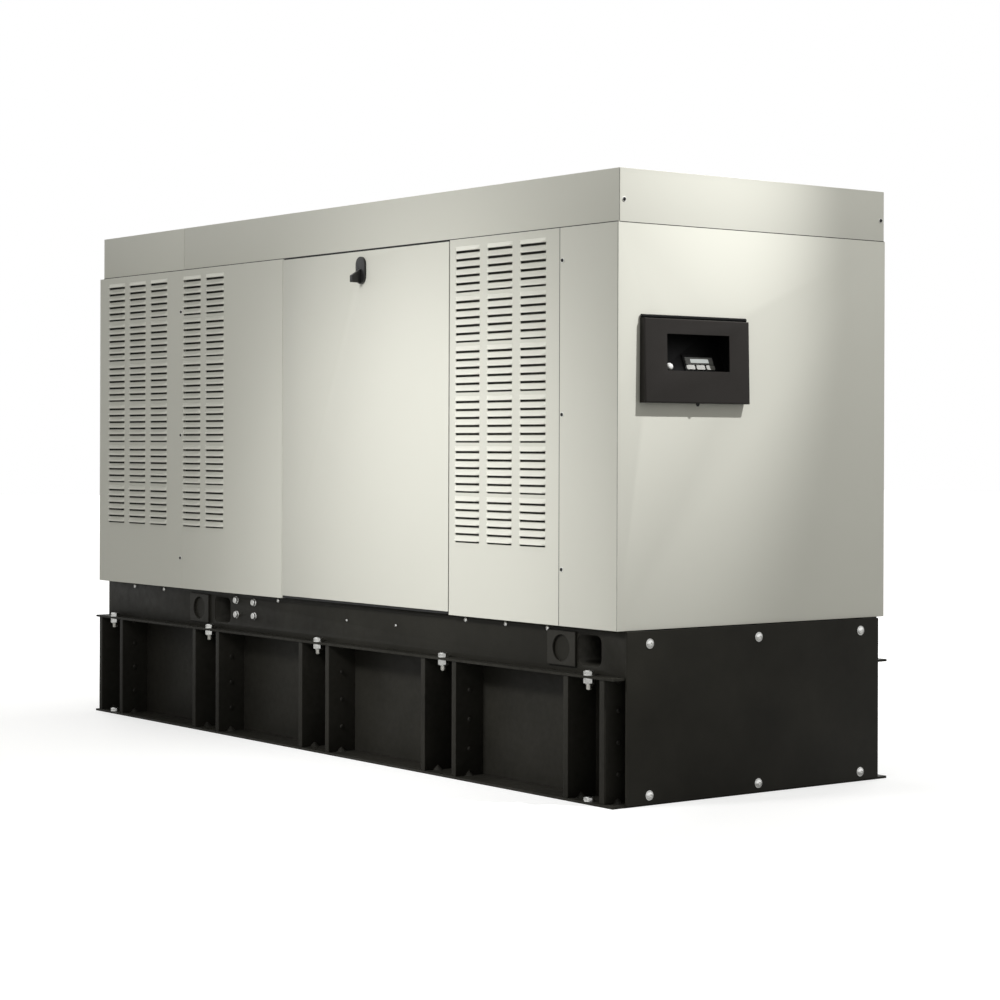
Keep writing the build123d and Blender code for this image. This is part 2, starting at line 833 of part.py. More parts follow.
# ---------------------------------------------------------------- engine
with BuildPart() as engine_block:
    with BuildSketch(Plane.YZ.offset(block_front)):
        with BuildLine():
            Polyline((0, shaft_height - skirt_depth), (block_width / 2, shaft_height - skirt_depth),
                     (block_width / 2, shaft_height + crankcase_top),
                     (deck_width / 2, shaft_height + crankcase_neck),
                     (deck_width / 2, shaft_height + deck_height), (0, shaft_height + deck_height))
            mirror(about=Plane.YZ)
        make_face()
    extrude(amount=block_length)
    # Upright ribs between the cylinders
    cylinder_pitch = block_length / cylinder_count
    for n in range(cylinder_count + 1):
        rib_x = block_front + n * (block_length - rib_width) / cylinder_count
        block((rib_x, rib_x + rib_width), (-deck_width / 2 - rib_proud, deck_width / 2 + rib_proud),
              (shaft_height + rib_foot, shaft_height + deck_height - rib_drop))
    # Front cover with the water pump's bearing above the crankshaft's seal
    with BuildSketch(Plane.YZ.offset(block_front)):
        with BuildLine():
            Polyline((0, shaft_height - skirt_depth), (timing_width / 2, shaft_height - skirt_depth),
                     (timing_width / 2, shaft_height + timing_height),
                     (pump_width / 2, fan_centre + pump_height), (0, fan_centre + pump_height))
            mirror(about=Plane.YZ)
        make_face()
    extrude(amount=-front_cover)
    for height, radius in ((shaft_height, crank_stub_radius), (fan_centre, fan_shaft_radius)):
        with BuildSketch(Plane.YZ.offset(engine_front)):
            with Locations((0, height)):
                Circle(radius + running_gap)
        extrude(amount=stub_length, mode=Mode.SUBTRACT)
    # Feet on the isolators
    for y_side in (-1, 1):
        foot_span = (engine_mount_x - engine_foot_length / 2, engine_mount_x + engine_foot_length / 2)
        foot_inner = y_side * (block_width / 2 - engine_foot_lap)
        block(foot_span, (foot_inner, y_side * (engine_mount_y + engine_foot_reach)),
              (isolator_top, isolator_top + foot_plate))
        block(foot_span, (foot_inner, y_side * block_width / 2),
              (isolator_top, shaft_height - skirt_depth + engine_foot_web))
save(engine_block, "engine_block")

head_bottom = shaft_height + deck_height
head_side = deck_width / 2 - head_inset
with BuildPart() as cylinder_head:
    block((block_front, block_back), (-head_side, head_side), (head_bottom, head_bottom + head_height))
    chamfer(cylinder_head.edges().filter_by(Axis.Z), head_corner)
save(cylinder_head, "cylinder_head")

with BuildPart() as valve_cover:
    cover_base = head_bottom + head_height
    with BuildSketch(Plane.XY.offset(cover_base)):
        with Locations(((block_front + block_back) / 2, 0)):
            RectangleRounded(valve_cover_length, valve_cover_width, valve_cover_corner)
    extrude(amount=valve_cover_height, taper=valve_cover_draft)
    chamfer(valve_cover.faces().sort_by(Axis.Z)[-1].edges(), valve_cover_edge)
save(valve_cover, "valve_cover")

with BuildPart() as oil_pan:
    pan_top = shaft_height - skirt_depth
    pan_middle = (block_front + block_back) / 2
    with BuildSketch(Plane.XY.offset(pan_top)):
        with Locations((pan_middle, 0)):
            Rectangle(pan_flange_length, pan_flange_width)
    extrude(amount=-pan_flange)
    with BuildSketch(Plane.XY.offset(pan_top - pan_flange)):
        with Locations((pan_middle, 0)):
            RectangleRounded(pan_length, pan_width, pan_corner)
    extrude(amount=-(pan_depth - pan_flange), taper=pan_draft)
save(oil_pan, "oil_pan")

with BuildPart() as flywheel_housing:
    with BuildSketch(Plane.YZ.offset(block_back)):
        with Locations((0, shaft_height)):
            RegularPolygon(flywheel_housing_width / 2, 12, major_radius=False, rotation=15)
    extrude(amount=flywheel_housing_length)
    # Starter motor alongside the block, on the front side
    with BuildSketch(Plane.YZ.offset(block_back)):
        with Locations((-block_width / 2 - starter_radius - starter_gap, shaft_height + starter_lift)):
            Circle(starter_radius)
    extrude(amount=-starter_length)
save(flywheel_housing, "flywheel_housing")

manifold_z = head_bottom + head_height / 2
port_places = [(block_front + (n + 0.5) * cylinder_pitch, 0, manifold_z) for n in range(cylinder_count)]
pipe_x = block_front + block_length / 2
intake_y = -head_side - intake_gap - intake_width / 2
intake_z = manifold_z + intake_lift
with BuildPart() as intake_manifold:
    with Locations((pipe_x, intake_y, intake_z)):
        Box(intake_length, intake_width, intake_height)
    chamfer(intake_manifold.edges().filter_by(Axis.X), intake_corner)
    runner_reach = intake_gap + intake_runner_lap
    with Locations(*[(x, -head_side - runner_reach / 2, z) for x, _, z in port_places]):
        Box(intake_runner, runner_reach, intake_height - 2 * intake_corner)
save(intake_manifold, "intake_manifold")

exhaust_y = head_side + exhaust_from_head
with BuildPart() as exhaust_manifold:
    with Locations((pipe_x, exhaust_y, manifold_z)):
        Box(exhaust_length, exhaust_width, exhaust_height)
    chamfer(exhaust_manifold.edges().filter_by(Axis.X), exhaust_corner)
    runner_reach = exhaust_from_head - exhaust_width / 2 + exhaust_runner_lap
    with Locations(*[(x, head_side + runner_reach / 2, z) for x, _, z in port_places]):
        Box(exhaust_runner, runner_reach, exhaust_height - exhaust_runner_lap)
    with Locations((pipe_x, exhaust_y, manifold_z + (outlet_flange_foot + outlet_flange_top) / 2)):
        Box(outlet_flange, outlet_flange, outlet_flange_top - outlet_flange_foot)
save(exhaust_manifold, "exhaust_manifold")

pipe_foot = manifold_z + outlet_flange_top
with BuildPart() as muffler:
    with BuildLine() as pipe_path:
        Polyline((pipe_x, exhaust_y, pipe_foot), (pipe_x, exhaust_y, pipe_level),
                 (muffler_x, exhaust_y, pipe_level), (muffler_x, exhaust_y, muffler_z))
    with BuildSketch(Plane.XY.offset(pipe_foot)):
        with Locations((pipe_x, exhaust_y)):
            Circle(pipe_radius)
    sweep(path=pipe_path.wire(), transition=Transition.RIGHT)
    # The oval can lies across the set; its tail pipe points at the air outlet
    with BuildSketch(Plane.XZ):
        with Locations((muffler_x, muffler_z)):
            SlotOverall(muffler_width, muffler_height)
    extrude(amount=muffler_length / 2, both=True)
    with BuildSketch(Plane.YZ.offset(radiator_end + vane_depth + tail_pipe_gap)):
        with Locations((0, muffler_z)):
            Circle(tail_pipe_radius)
    extrude(amount=muffler_x - radiator_end - vane_depth - tail_pipe_gap)
    # Strap hangers from the roof
    hanger_y = muffler_length / 2 - hanger_inset
    for y in (-hanger_y, hanger_y):
        block((muffler_x - hanger_width / 2, muffler_x + hanger_width / 2),
              (y - hanger_strap / 2, y + hanger_strap / 2), (muffler_z, roof_top - sheet))
save(muffler, "muffler")


# ---------------------------------------------------------------- belt drive and fan
pulley_back = engine_front - pulley_stand_off
pulley_front = pulley_back - pulley_width
charge_z = shaft_height + charge_above_shaft


def pulley_disc(y, z, radius):
    """A flat pulley in the belt's plane, in the part being built."""
    with Locations(Location((pulley_front, y, z), (0, 90, 0))):
        Cylinder(radius, pulley_width, align=(Align.CENTER, Align.CENTER, Align.MIN))


with BuildPart() as crank_pulley:
    pulley_disc(0, shaft_height, crank_pulley_radius)
    with BuildSketch(Plane.YZ.offset(pulley_front)):
        with Locations((0, shaft_height)):
            Circle(crank_stub_radius)
    extrude(amount=pulley_width + pulley_stand_off + stub_length - shaft_end_gap)
save(crank_pulley, "crank_pulley")

with BuildPart() as fan:
    with BuildSketch(Plane.YZ.offset(fan_front)):
        with Locations((0, fan_centre)):
            Circle(fan_hub_radius)
    extrude(amount=fan_depth)
    # Blades: thin plates set at an angle round the hub
    hub_plane = Plane(origin=((fan_front + fan_back) / 2, 0, fan_centre), x_dir=(0, 1, 0),
                      z_dir=(1, 0, 0))
    for n in range(fan_blades):
        turn = Rotation(0, 0, n * 360 / fan_blades) * Rotation(blade_angle, 0, 0)
        with BuildSketch(Plane(hub_plane.location * turn)):
            with BuildLine():
                Polyline((fan_hub_radius - blade_lap, -blade_root / 2), (fan_radius, -blade_tip / 2),
                         (fan_radius, blade_tip / 2), (fan_hub_radius - blade_lap, blade_root / 2), close=True)
            make_face()
        extrude(amount=blade_sheet / 2, both=True)
    pulley_disc(0, fan_centre, fan_pulley_radius)
    with BuildSketch(Plane.YZ.offset(fan_back)):
        with Locations((0, fan_centre)):
            Circle(fan_shaft_radius)
    extrude(amount=engine_front + stub_length - shaft_end_gap - fan_back)
save(fan, "fan")

with BuildPart() as drive_belt:
    with BuildSketch(Plane.YZ.offset(pulley_front + belt_inset)):
        for grow, mode in ((belt_thickness, Mode.ADD), (moving_gap / 2, Mode.SUBTRACT)):
            rings = [(0, shaft_height, crank_pulley_radius), (0, fan_centre, fan_pulley_radius),
                     (charge_y, charge_z, charge_pulley_radius)]
            circles = [Pos(y, z) * Circle(radius + grow, mode=Mode.PRIVATE) for y, z, radius in rings]
            make_hull([edge for circle in circles for edge in circle.edges()], mode=mode)
    extrude(amount=pulley_width - 2 * belt_inset)
save(drive_belt, "drive_belt")

charge_front = pulley_back + charge_gap
with BuildPart() as charge_alternator:
    with BuildSketch(Plane.YZ.offset(charge_front)):
        with Locations((charge_y, charge_z)):
            Circle(charge_radius)
            Circle(charge_shaft_radius + running_gap, mode=Mode.SUBTRACT)
    extrude(amount=charge_length)
    # Mounting lug between the machine and the block's side
    lug_front = block_front + rib_width + charge_gap
    block((lug_front, lug_front + charge_lug), (deck_width / 2, charge_y - charge_radius + charge_lug_lap),
          (charge_z - charge_lug_height / 2, charge_z + charge_lug_height / 2))
save(charge_alternator, "charge_alternator")

with BuildPart() as charge_pulley:
    pulley_disc(charge_y, charge_z, charge_pulley_radius)
    with BuildSketch(Plane.YZ.offset(pulley_back)):
        with Locations((charge_y, charge_z)):
            Circle(charge_shaft_radius)
    extrude(amount=charge_shaft_length)
save(charge_pulley, "charge_pulley")

# ---------------------------------------------------------------- generator
rotor_radius = generator_bore - rotor_gap
with BuildPart() as generator_housing:
    with BuildSketch(Plane.YZ.offset(housing_back)):
        with Locations((0, shaft_height)):
            RegularPolygon(generator_width / 2, 12, major_radius=False, rotation=15)
            Circle(generator_bore, mode=Mode.SUBTRACT)
    extrude(amount=generator_length)
    with BuildSketch(Plane.YZ.offset(generator_end - end_bell)):
        with Locations((0, shaft_height)):
            RegularPolygon(generator_width / 2 - end_bell_step, 12, major_radius=False, rotation=15)
            Circle(shaft_radius + running_gap, mode=Mode.SUBTRACT)
    extrude(amount=end_bell + end_bell_proud)
    for y_side in (-1, 1):
        foot_span = (generator_mount_x - generator_foot_length / 2, generator_mount_x + generator_foot_length / 2)
        foot_inner = generator_mount_y - generator_foot_lap
        block(foot_span, (y_side * foot_inner, y_side * (generator_mount_y + generator_foot_reach)),
              (isolator_top, isolator_top + foot_plate))
        block(foot_span, (y_side * foot_inner, y_side * (foot_inner + generator_foot_web)),
              (isolator_top, shaft_height - generator_foot_top))
save(generator_housing, "generator_housing")

rotor_front = housing_back + rotor_inset
with BuildPart() as generator_rotor:
    with BuildSketch(Plane.YZ.offset(rotor_front)):
        with Locations((0, shaft_height)):
            Rectangle(2 * rotor_radius - rotor_pole_gap, rotor_pole / 2)
            Rectangle(rotor_pole / 2, 2 * rotor_radius - rotor_pole_gap)
    extrude(amount=rotor_length)
    with BuildSketch(Plane.YZ.offset(housing_back + rotor_end_gap)):
        with Locations((0, shaft_height)):
            Circle(shaft_radius)
    extrude(amount=generator_length + rotor_tail)
save(generator_rotor, "generator_rotor")

# ---------------------------------------------------------------- radiator and shroud
radiator_top = base_height + radiator_height
with BuildPart() as radiator:
    block((core_front, core_back), (-radiator_width / 2, radiator_width / 2),
          (base_height, radiator_top))
    for x_range in ((core_front, core_front + core_recess), (core_back - core_recess, core_back)):
        block(x_range, (-radiator_width / 2 + side_channel, radiator_width / 2 - side_channel),
              (base_height + header_height, radiator_top - header_height), Mode.SUBTRACT)
    with BuildSketch(Plane.XY.offset(radiator_top)):
        with Locations(((core_front + core_back) / 2, neck_side)):
            Circle(cap_neck_radius)
    extrude(amount=cap_neck_height)
save(radiator, "radiator")

with BuildPart() as radiator_cap:
    cap_foot = radiator_top + cap_neck_height + cap_gap
    with BuildSketch(Plane.XY.offset(cap_foot)):
        with Locations(((core_front + core_back) / 2, neck_side)):
            RegularPolygon(cap_neck_radius + radiator_cap_overhang, 12)
            Rectangle(2 * (cap_neck_radius + radiator_cap_overhang) + radiator_cap_grip, radiator_cap_grip)
    extrude(amount=radiator_cap_height)
save(radiator_cap, "radiator_cap")

with BuildPart() as fan_shroud:
    half = shroud_width / 2
    block((core_back, core_back + shroud_depth), (-half, half), (fan_centre - half, fan_centre + half))
    block((core_back, core_back + shroud_depth - sheet), (-half + sheet, half - sheet),
          (fan_centre - half + sheet, fan_centre + half - sheet), Mode.SUBTRACT)
    with BuildSketch(Plane.YZ.offset(core_back)):
        with Locations((0, fan_centre)):
            Circle(fan_radius + fan_clearance)
    extrude(amount=shroud_depth, mode=Mode.SUBTRACT)
save(fan_shroud, "fan_shroud")

# ---------------------------------------------------------------- services
with BuildPart() as air_cleaner:
    with BuildSketch(Plane.YZ.offset(pipe_x - cleaner_length / 2)):
        with Locations((intake_y + cleaner_offset, intake_z + intake_height / 2 + cleaner_radius)):
            Circle(cleaner_radius)
    extrude(amount=cleaner_length)
save(air_cleaner, "air_cleaner")

battery_left = generator_mount_x + cross_width / 2 + battery_from_crossmember
battery_right = battery_left + battery_length
battery_outer = rail_face + rail_flange + battery_from_rail
battery_low = tank_height
with BuildPart() as battery:
    lid_foot = battery_low + battery_height - battery_lid
    block((battery_left, battery_right), (battery_outer, battery_outer + battery_width),
          (battery_low, lid_foot))
    block((battery_left - battery_lid_lap, battery_right + battery_lid_lap),
          (battery_outer - battery_lid_lap, battery_outer + battery_width + battery_lid_lap),
          (lid_foot, battery_low + battery_height))
    with BuildSketch(Plane.XY.offset(battery_low + battery_height)):
        for x in (battery_left + terminal_inset, battery_right - terminal_inset):
            with Locations((x, battery_outer + terminal_from_side)):
                RegularPolygon(terminal_radius, 8)
    extrude(amount=terminal_height)
save(battery, "battery")

breaker_x = housing_back + breaker_inset
breaker_face = -breaker_offset - breaker_depth / 2
breaker_low = shaft_height + generator_width / 2
breaker_middle = breaker_x + breaker_length / 2
handle_pivot_y = breaker_face + handle_pin_depth
handle_pivot_z = breaker_low + breaker_height / 2
with BuildPart() as main_breaker:
    block((breaker_x, breaker_x + breaker_length), (breaker_face, breaker_face + breaker_depth),
          (breaker_low, breaker_low + breaker_height))
    block((breaker_middle - pocket_width / 2, breaker_middle + pocket_width / 2),
          (breaker_face, breaker_face + pocket_depth),
          (handle_pivot_z - pocket_height / 2, handle_pivot_z + pocket_height / 2), Mode.SUBTRACT)
    with BuildSketch(Plane.YZ.offset(breaker_middle)):
        with Locations((handle_pivot_y, handle_pivot_z)):
            Circle(handle_pin_radius + running_gap)
    extrude(amount=handle_pin_length / 2 + shaft_end_gap / 2, both=True, mode=Mode.SUBTRACT)
save(main_breaker, "main_breaker")

with BuildPart() as breaker_handle:
    with BuildSketch(Plane.YZ.offset(breaker_middle)):
        with Locations((handle_pivot_y, handle_pivot_z)):
            Circle(handle_pin_radius)
    extrude(amount=handle_pin_length / 2, both=True)
    with BuildSketch(Plane.YZ.offset(breaker_middle)):
        with Locations((handle_pivot_y, handle_pivot_z)):
            Polygon((handle_root, -handle_root), (handle_root, handle_root),
                    (handle_root * 0.75 - handle_reach, handle_tip), (-handle_reach, handle_root), align=None)
    extrude(amount=handle_width / 2, both=True)
save(breaker_handle, "breaker_handle")

with BuildPart() as fuel_cap:
    with BuildSketch(Plane.XY.offset(neck_top + cap_gap)):
        with Locations((neck_x, neck_y)):
            RegularPolygon(neck_radius + fuel_cap_overhang, 12)
    extrude(amount=fuel_cap_height)
save(fuel_cap, "fuel_cap")
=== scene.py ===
"""The looks of the standby generator set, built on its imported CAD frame.

Lengths are metres. +X points to the control end and the front long side faces -Y.
"""

import math

import bmesh
import bpy
from mathutils import Matrix, Vector


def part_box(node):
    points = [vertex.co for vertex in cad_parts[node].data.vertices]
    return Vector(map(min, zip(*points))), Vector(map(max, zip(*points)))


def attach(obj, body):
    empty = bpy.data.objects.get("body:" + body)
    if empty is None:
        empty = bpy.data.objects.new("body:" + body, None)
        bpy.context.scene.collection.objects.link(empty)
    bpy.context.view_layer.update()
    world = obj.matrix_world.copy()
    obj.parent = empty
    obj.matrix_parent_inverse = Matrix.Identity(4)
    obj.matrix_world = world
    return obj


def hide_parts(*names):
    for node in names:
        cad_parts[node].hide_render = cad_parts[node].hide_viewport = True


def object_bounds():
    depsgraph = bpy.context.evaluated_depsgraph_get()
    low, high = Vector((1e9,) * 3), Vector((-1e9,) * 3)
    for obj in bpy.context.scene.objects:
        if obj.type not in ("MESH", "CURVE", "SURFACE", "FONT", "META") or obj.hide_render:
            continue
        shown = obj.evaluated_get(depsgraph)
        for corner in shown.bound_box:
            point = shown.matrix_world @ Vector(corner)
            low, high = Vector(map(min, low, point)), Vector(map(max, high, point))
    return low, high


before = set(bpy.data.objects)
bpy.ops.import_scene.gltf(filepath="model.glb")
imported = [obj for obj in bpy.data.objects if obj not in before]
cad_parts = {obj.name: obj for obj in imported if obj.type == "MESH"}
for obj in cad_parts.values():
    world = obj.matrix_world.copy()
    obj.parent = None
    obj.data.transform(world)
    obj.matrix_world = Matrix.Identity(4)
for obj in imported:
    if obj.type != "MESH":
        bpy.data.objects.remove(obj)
cad_low, cad_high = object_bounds()

# ---------------------------------------------------------------- sizes and places
mm = 0.001
SIDES = (("front", -1), ("rear", 1))
face_y = -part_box("front_door")[0].y
wall_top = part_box("control_end_panel")[1].z
wall_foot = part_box("control_end_panel")[0].z
control_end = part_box("stub_up_cover")[0].x
radiator_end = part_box("radiator_end_panel")[0].x
roof_top = cad_high.z
flange_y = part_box("tank_bottom_plate")[1].y
tank_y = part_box("tank_walls")[1].y
rail_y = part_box("engine_crossmember")[1].y + 6 * mm
flange_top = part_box("tank_top_plate")[0].z + 6 * mm
plate = 6 * mm

hood_half = 53 * mm
hood_height = 12 * mm
hood_proud = 8 * mm
hood_end = 9 * mm
slot_half = 50.5 * mm
slot_drop = 5.8 * mm
last_slot_drop = 4.4 * mm
row_pitch = 20.32 * mm
rows_in_group = 6
group_pitch = 127 * mm
group_count = 6
first_row_drop = 31 * mm
column_pitch = 134.5 * mm
sheet = 1.6 * mm
hood_sheet = 1.2 * mm
fold_depth = 20 * mm
shelf_depth = 62 * mm
foam_front, foam_back = 9 * mm, 19 * mm
panel_joint = 0.75 * mm

gusset_first = 37 * mm
gusset_pitch = 591 * mm
gusset_spread = 136 * mm
gusset_pairs = [
    (control_end - gusset_first - n * gusset_pitch - gusset_spread,
     control_end - gusset_first - n * gusset_pitch)
    for n in range(5)
]
gusset_depth = 87 * mm
gusset_plate = 5 * mm

hinge_place = (1279.5 * mm, 1155.5 * mm)
rigging_starts = (-615.5 * mm, 1096.5 * mm)
rigging_foot, rigging_head = 321 * mm, 399 * mm
rigging_length = 90 * mm
pad_middles = (-698 * mm, 1040 * mm)
pad_level = 360 * mm
pad_hole = 33.5 * mm
pad_half_width, pad_half_height = 53 * mm, 40.5 * mm
cover_bolt_rows = (383 * mm, 25 * mm)
cover_bolt_columns = (-349 * mm, 2.1 * mm, 354.7 * mm)
rail_bolt_places = ((-490.5, 393), (-391.5, 391), (-488.5, 351), (-389.5, 352))
rail_hole_places = ((94.5, 369), (330.5, 370))
rail_rivet_row = 404
rail_rivet_columns = (-1108.5, -923.5, -261.5, 642.5, 810.5, 979.5)
wall_screw_columns = ((-777.5, (1249, 877, 506)), (1065.5, (1295, 924, 551)))
roof_screw_y, roof_screw_z = 428 * mm, 1427 * mm


# ---------------------------------------------------------------- materials
def surface(name, colour, rough, metallic=0.0, mottle=(3.0, 0.05), grain=(900.0, 0.05), spread=0.06, coat=0.0,
            wear=None, dust=None, waves=None, shine=0.5, painted_glow=0.0):
    """A procedural material: mottled colour, uneven roughness and a fine bump from object coordinates, and an
    optional painted glow.
    """
    material = bpy.data.materials.new(name)
    material.use_nodes = True
    nodes, links = material.node_tree.nodes, material.node_tree.links
    shader = nodes["Principled BSDF"]
    shader.inputs["Metallic"].default_value = metallic
    shader.inputs["Coat Weight"].default_value = coat
    shader.inputs["Specular IOR Level"].default_value = shine
    # painted_glow makes a surface glow by itself: painted light
    shader.inputs["Emission Color"].default_value = (*colour, 1.0)
    shader.inputs["Emission Strength"].default_value = painted_glow
    place = nodes.new("ShaderNodeTexCoord").outputs["Object"]

    def noise(scale, detail):
        node = nodes.new("ShaderNodeTexNoise")
        node.inputs["Scale"].default_value = scale
        node.inputs["Detail"].default_value = detail
        links.new(place, node.inputs["Vector"])
        return node.outputs["Fac"]

    def spread_to(source, low, high, start=0.3, stop=0.7):
        node = nodes.new("ShaderNodeMapRange")
        node.inputs["From Min"].default_value = start
        node.inputs["From Max"].default_value = stop
        node.inputs["To Min"].default_value = low
        node.inputs["To Max"].default_value = high
        links.new(source, node.inputs["Value"])
        return node.outputs["Result"]

    def blend_colour(share, first, second):
        node = nodes.new("ShaderNodeMix")
        node.data_type = "RGBA"
        links.new(share, node.inputs["Factor"])
        for socket, value in ((node.inputs["A"], first), (node.inputs["B"], second)):
            if isinstance(value, tuple):
                socket.default_value = (*value, 1.0)
            else:
                links.new(value, socket)
        return node.outputs["Result"]

    darker = tuple(c * (1 - mottle[1]) for c in colour)
    lighter = tuple(min(1.0, c * (1 + mottle[1])) for c in colour)
    shade = blend_colour(spread_to(noise(mottle[0], 5.0), 0.0, 1.0), darker, lighter)
    if dust:
        tint, top, strength = dust
        split = nodes.new("ShaderNodeSeparateXYZ")
        links.new(place, split.inputs["Vector"])
        height = spread_to(split.outputs["Z"], strength, 0.0, 0.0, top)
        patch = nodes.new("ShaderNodeMath")
        patch.operation = "MULTIPLY"
        links.new(height, patch.inputs[0])
        links.new(spread_to(noise(14.0, 8.0), 0.3, 1.0), patch.inputs[1])
        shade = blend_colour(patch.outputs["Value"], shade, tint)
    if wear:
        tint, size, amount = wear
        edge = nodes.new("ShaderNodeNewGeometry")
        worn = nodes.new("ShaderNodeMath")
        worn.operation = "MULTIPLY"
        links.new(spread_to(edge.outputs["Pointiness"], 0.0, amount, 0.52, 0.6), worn.inputs[0])
        links.new(spread_to(noise(size, 6.0), 0.0, 1.0), worn.inputs[1])
        shade = blend_colour(worn.outputs["Value"], shade, tint)
    links.new(shade, shader.inputs["Base Color"])
    roughness = spread_to(noise(mottle[0] * 7, 6.0), rough - spread, rough + spread)
    links.new(roughness, shader.inputs["Roughness"])

    bump = nodes.new("ShaderNodeBump")
    bump.inputs["Strength"].default_value = grain[1]
    bump.inputs["Distance"].default_value = 0.4 * mm
    relief = noise(grain[0], 2.0)
    if waves:
        axis, pitch, depth = waves
        ribs = nodes.new("ShaderNodeTexWave")
        ribs.bands_direction = axis
        ribs.inputs["Scale"].default_value = 0.314 / pitch
        links.new(place, ribs.inputs["Vector"])
        bump.inputs["Distance"].default_value = depth
        relief = ribs.outputs["Fac"]
    links.new(relief, bump.inputs["Height"])
    links.new(bump.outputs["Normal"], shader.inputs["Normal"])
    return material


paint = surface("enclosure_powder_coat", (0.62, 0.617, 0.555), 0.46, mottle=(1.6, 0.012),
                grain=(1400.0, 0.06), spread=0.02, shine=0.4)
# The louvre hoods get a lighter copy of the wall paint: a painted highlight for light falling on them from
# above
hood_highlight_paint = surface("louvre_coat_painted_highlight", (0.71, 0.707, 0.64), 0.46, mottle=(1.6, 0.012),
                     grain=(1400.0, 0.06), spread=0.02, shine=0.4)
base_black = surface("base_black_enamel", (0.02, 0.019, 0.0156), 0.42, mottle=(6.0, 0.2), grain=(650.0, 0.12),
                     spread=0.06, dust=((0.03, 0.028, 0.025), 0.35, 0.08),
                     wear=((0.05, 0.048, 0.043), 60.0, 0.4), shine=0.08)
pad_black = surface("pad_enamel", (0.027, 0.0256, 0.0215), 0.45, mottle=(9.0, 0.2), grain=(600.0, 0.2),
                    shine=0.15)
weld_black = surface("painted_weld", (0.024, 0.023, 0.02), 0.42, mottle=(60.0, 0.3), grain=(900.0, 0.3),
                     shine=0.12)
cover_black = surface("control_cover_black", (0.0185, 0.0163, 0.0147), 0.45, mottle=(5.0, 0.08),
                      grain=(1300.0, 0.12), spread=0.05, shine=0.2)
panel_black = surface("panel_black", (0.004, 0.004, 0.004), 0.55, mottle=(9.0, 0.15), grain=(1500.0, 0.08),
                      shine=0.2)
latch_black = surface("latch_black_nylon", (0.012, 0.012, 0.012), 0.42, mottle=(40.0, 0.15),
                      grain=(2200.0, 0.12))
zinc = surface("bright_zinc", (0.78, 0.78, 0.76), 0.26, metallic=1.0, mottle=(90.0, 0.1), grain=(1600.0, 0.1))
# Washers under the wall screws, their near-white colour a painted highlight beside the dark heads
washer_highlight_paint = surface("washer_painted_highlight", (0.86, 0.86, 0.83), 0.35, metallic=0.2, mottle=(90.0, 0.05),
                        grain=(1600.0, 0.1))
dark_bolt = surface("black_fastener", (0.03, 0.03, 0.03), 0.4, metallic=0.6, mottle=(90.0, 0.2),
                    grain=(1600.0, 0.1))
thread_steel = surface("thread_steel", (0.55, 0.54, 0.5), 0.35, metallic=1.0, mottle=(60.0, 0.15),
                       waves=("Z", 1.8 * mm, 0.5 * mm))
# Dark foam for behind the louvre slots: partly painted shade for the inside of the enclosure
shade_foam = surface("sound_foam_painted_shade", (0.05, 0.05, 0.045), 0.95, mottle=(50.0, 0.3), grain=(260.0, 0.9), spread=0.03)
# Near-black strips for the seams: painted shade in the gaps
painted_seam_shade = surface("painted_seam_shade", (0.012, 0.012, 0.012), 0.7, mottle=(30.0, 0.2), grain=(900.0, 0.2))
key_light = surface("key_light", (0.42, 0.42, 0.4), 0.4, mottle=(60.0, 0.03), grain=(2500.0, 0.06))
# The display screen glows a little though it is no lamp: painted light
screen_painted_glow = surface("screen_painted_glow", (0.8, 0.84, 0.82), 0.35, mottle=(40.0, 0.05), grain=(3000.0, 0.02),
                      painted_glow=0.45)
display_grey = surface("display_frame_grey", (0.3, 0.3, 0.293), 0.5, mottle=(40.0, 0.1), grain=(2000.0, 0.1))
lamp_white = surface("lamp_white", (0.85, 0.85, 0.83), 0.2, mottle=(80.0, 0.03), grain=(2000.0, 0.03),
                     coat=0.6)
engine_iron = surface("engine_casting", (0.055, 0.06, 0.062), 0.5, mottle=(12.0, 0.15), grain=(420.0, 0.45),
                      wear=((0.16, 0.16, 0.16), 40.0, 0.4))
engine_paint = surface("engine_enamel", (0.05, 0.055, 0.058), 0.38, mottle=(8.0, 0.1), grain=(700.0, 0.15))
exhaust_iron = surface("exhaust_casting", (0.16, 0.11, 0.08), 0.65, mottle=(20.0, 0.3), grain=(380.0, 0.6))
exhaust_steel = surface("aluminised_steel", (0.55, 0.53, 0.5), 0.42, metallic=1.0, mottle=(9.0, 0.15),
                        grain=(500.0, 0.15), wear=((0.3, 0.2, 0.12), 20.0, 0.3))
alloy = surface("cast_alloy", (0.5, 0.5, 0.49), 0.48, metallic=0.9, mottle=(18.0, 0.1), grain=(480.0, 0.4))
radiator_core = surface("radiator_fins", (0.12, 0.12, 0.12), 0.5, metallic=0.8, mottle=(10.0, 0.1),
                        waves=("Y", 3.0 * mm, 1.2 * mm))
steel = surface("turned_steel", (0.55, 0.55, 0.54), 0.3, metallic=1.0, mottle=(30.0, 0.1),
                grain=(1200.0, 0.1))
belt_rubber = surface("belt_rubber", (0.016, 0.016, 0.016), 0.6, mottle=(30.0, 0.2),
                      waves=("X", 3.4 * mm, 0.6 * mm))
fan_black = surface("fan_moulding", (0.02, 0.02, 0.021), 0.42, mottle=(16.0, 0.1), grain=(1500.0, 0.12))
rubber = surface("mount_rubber", (0.016, 0.016, 0.016), 0.75, mottle=(30.0, 0.2), grain=(700.0, 0.3))
generator_grey = surface("generator_enamel", (0.07, 0.075, 0.078), 0.4, mottle=(6.0, 0.1), grain=(600.0, 0.2))
laminations = surface("rotor_laminations", (0.3, 0.2, 0.12), 0.45, metallic=0.6, mottle=(12.0, 0.2),
                      waves=("X", 2.0 * mm, 0.5 * mm))
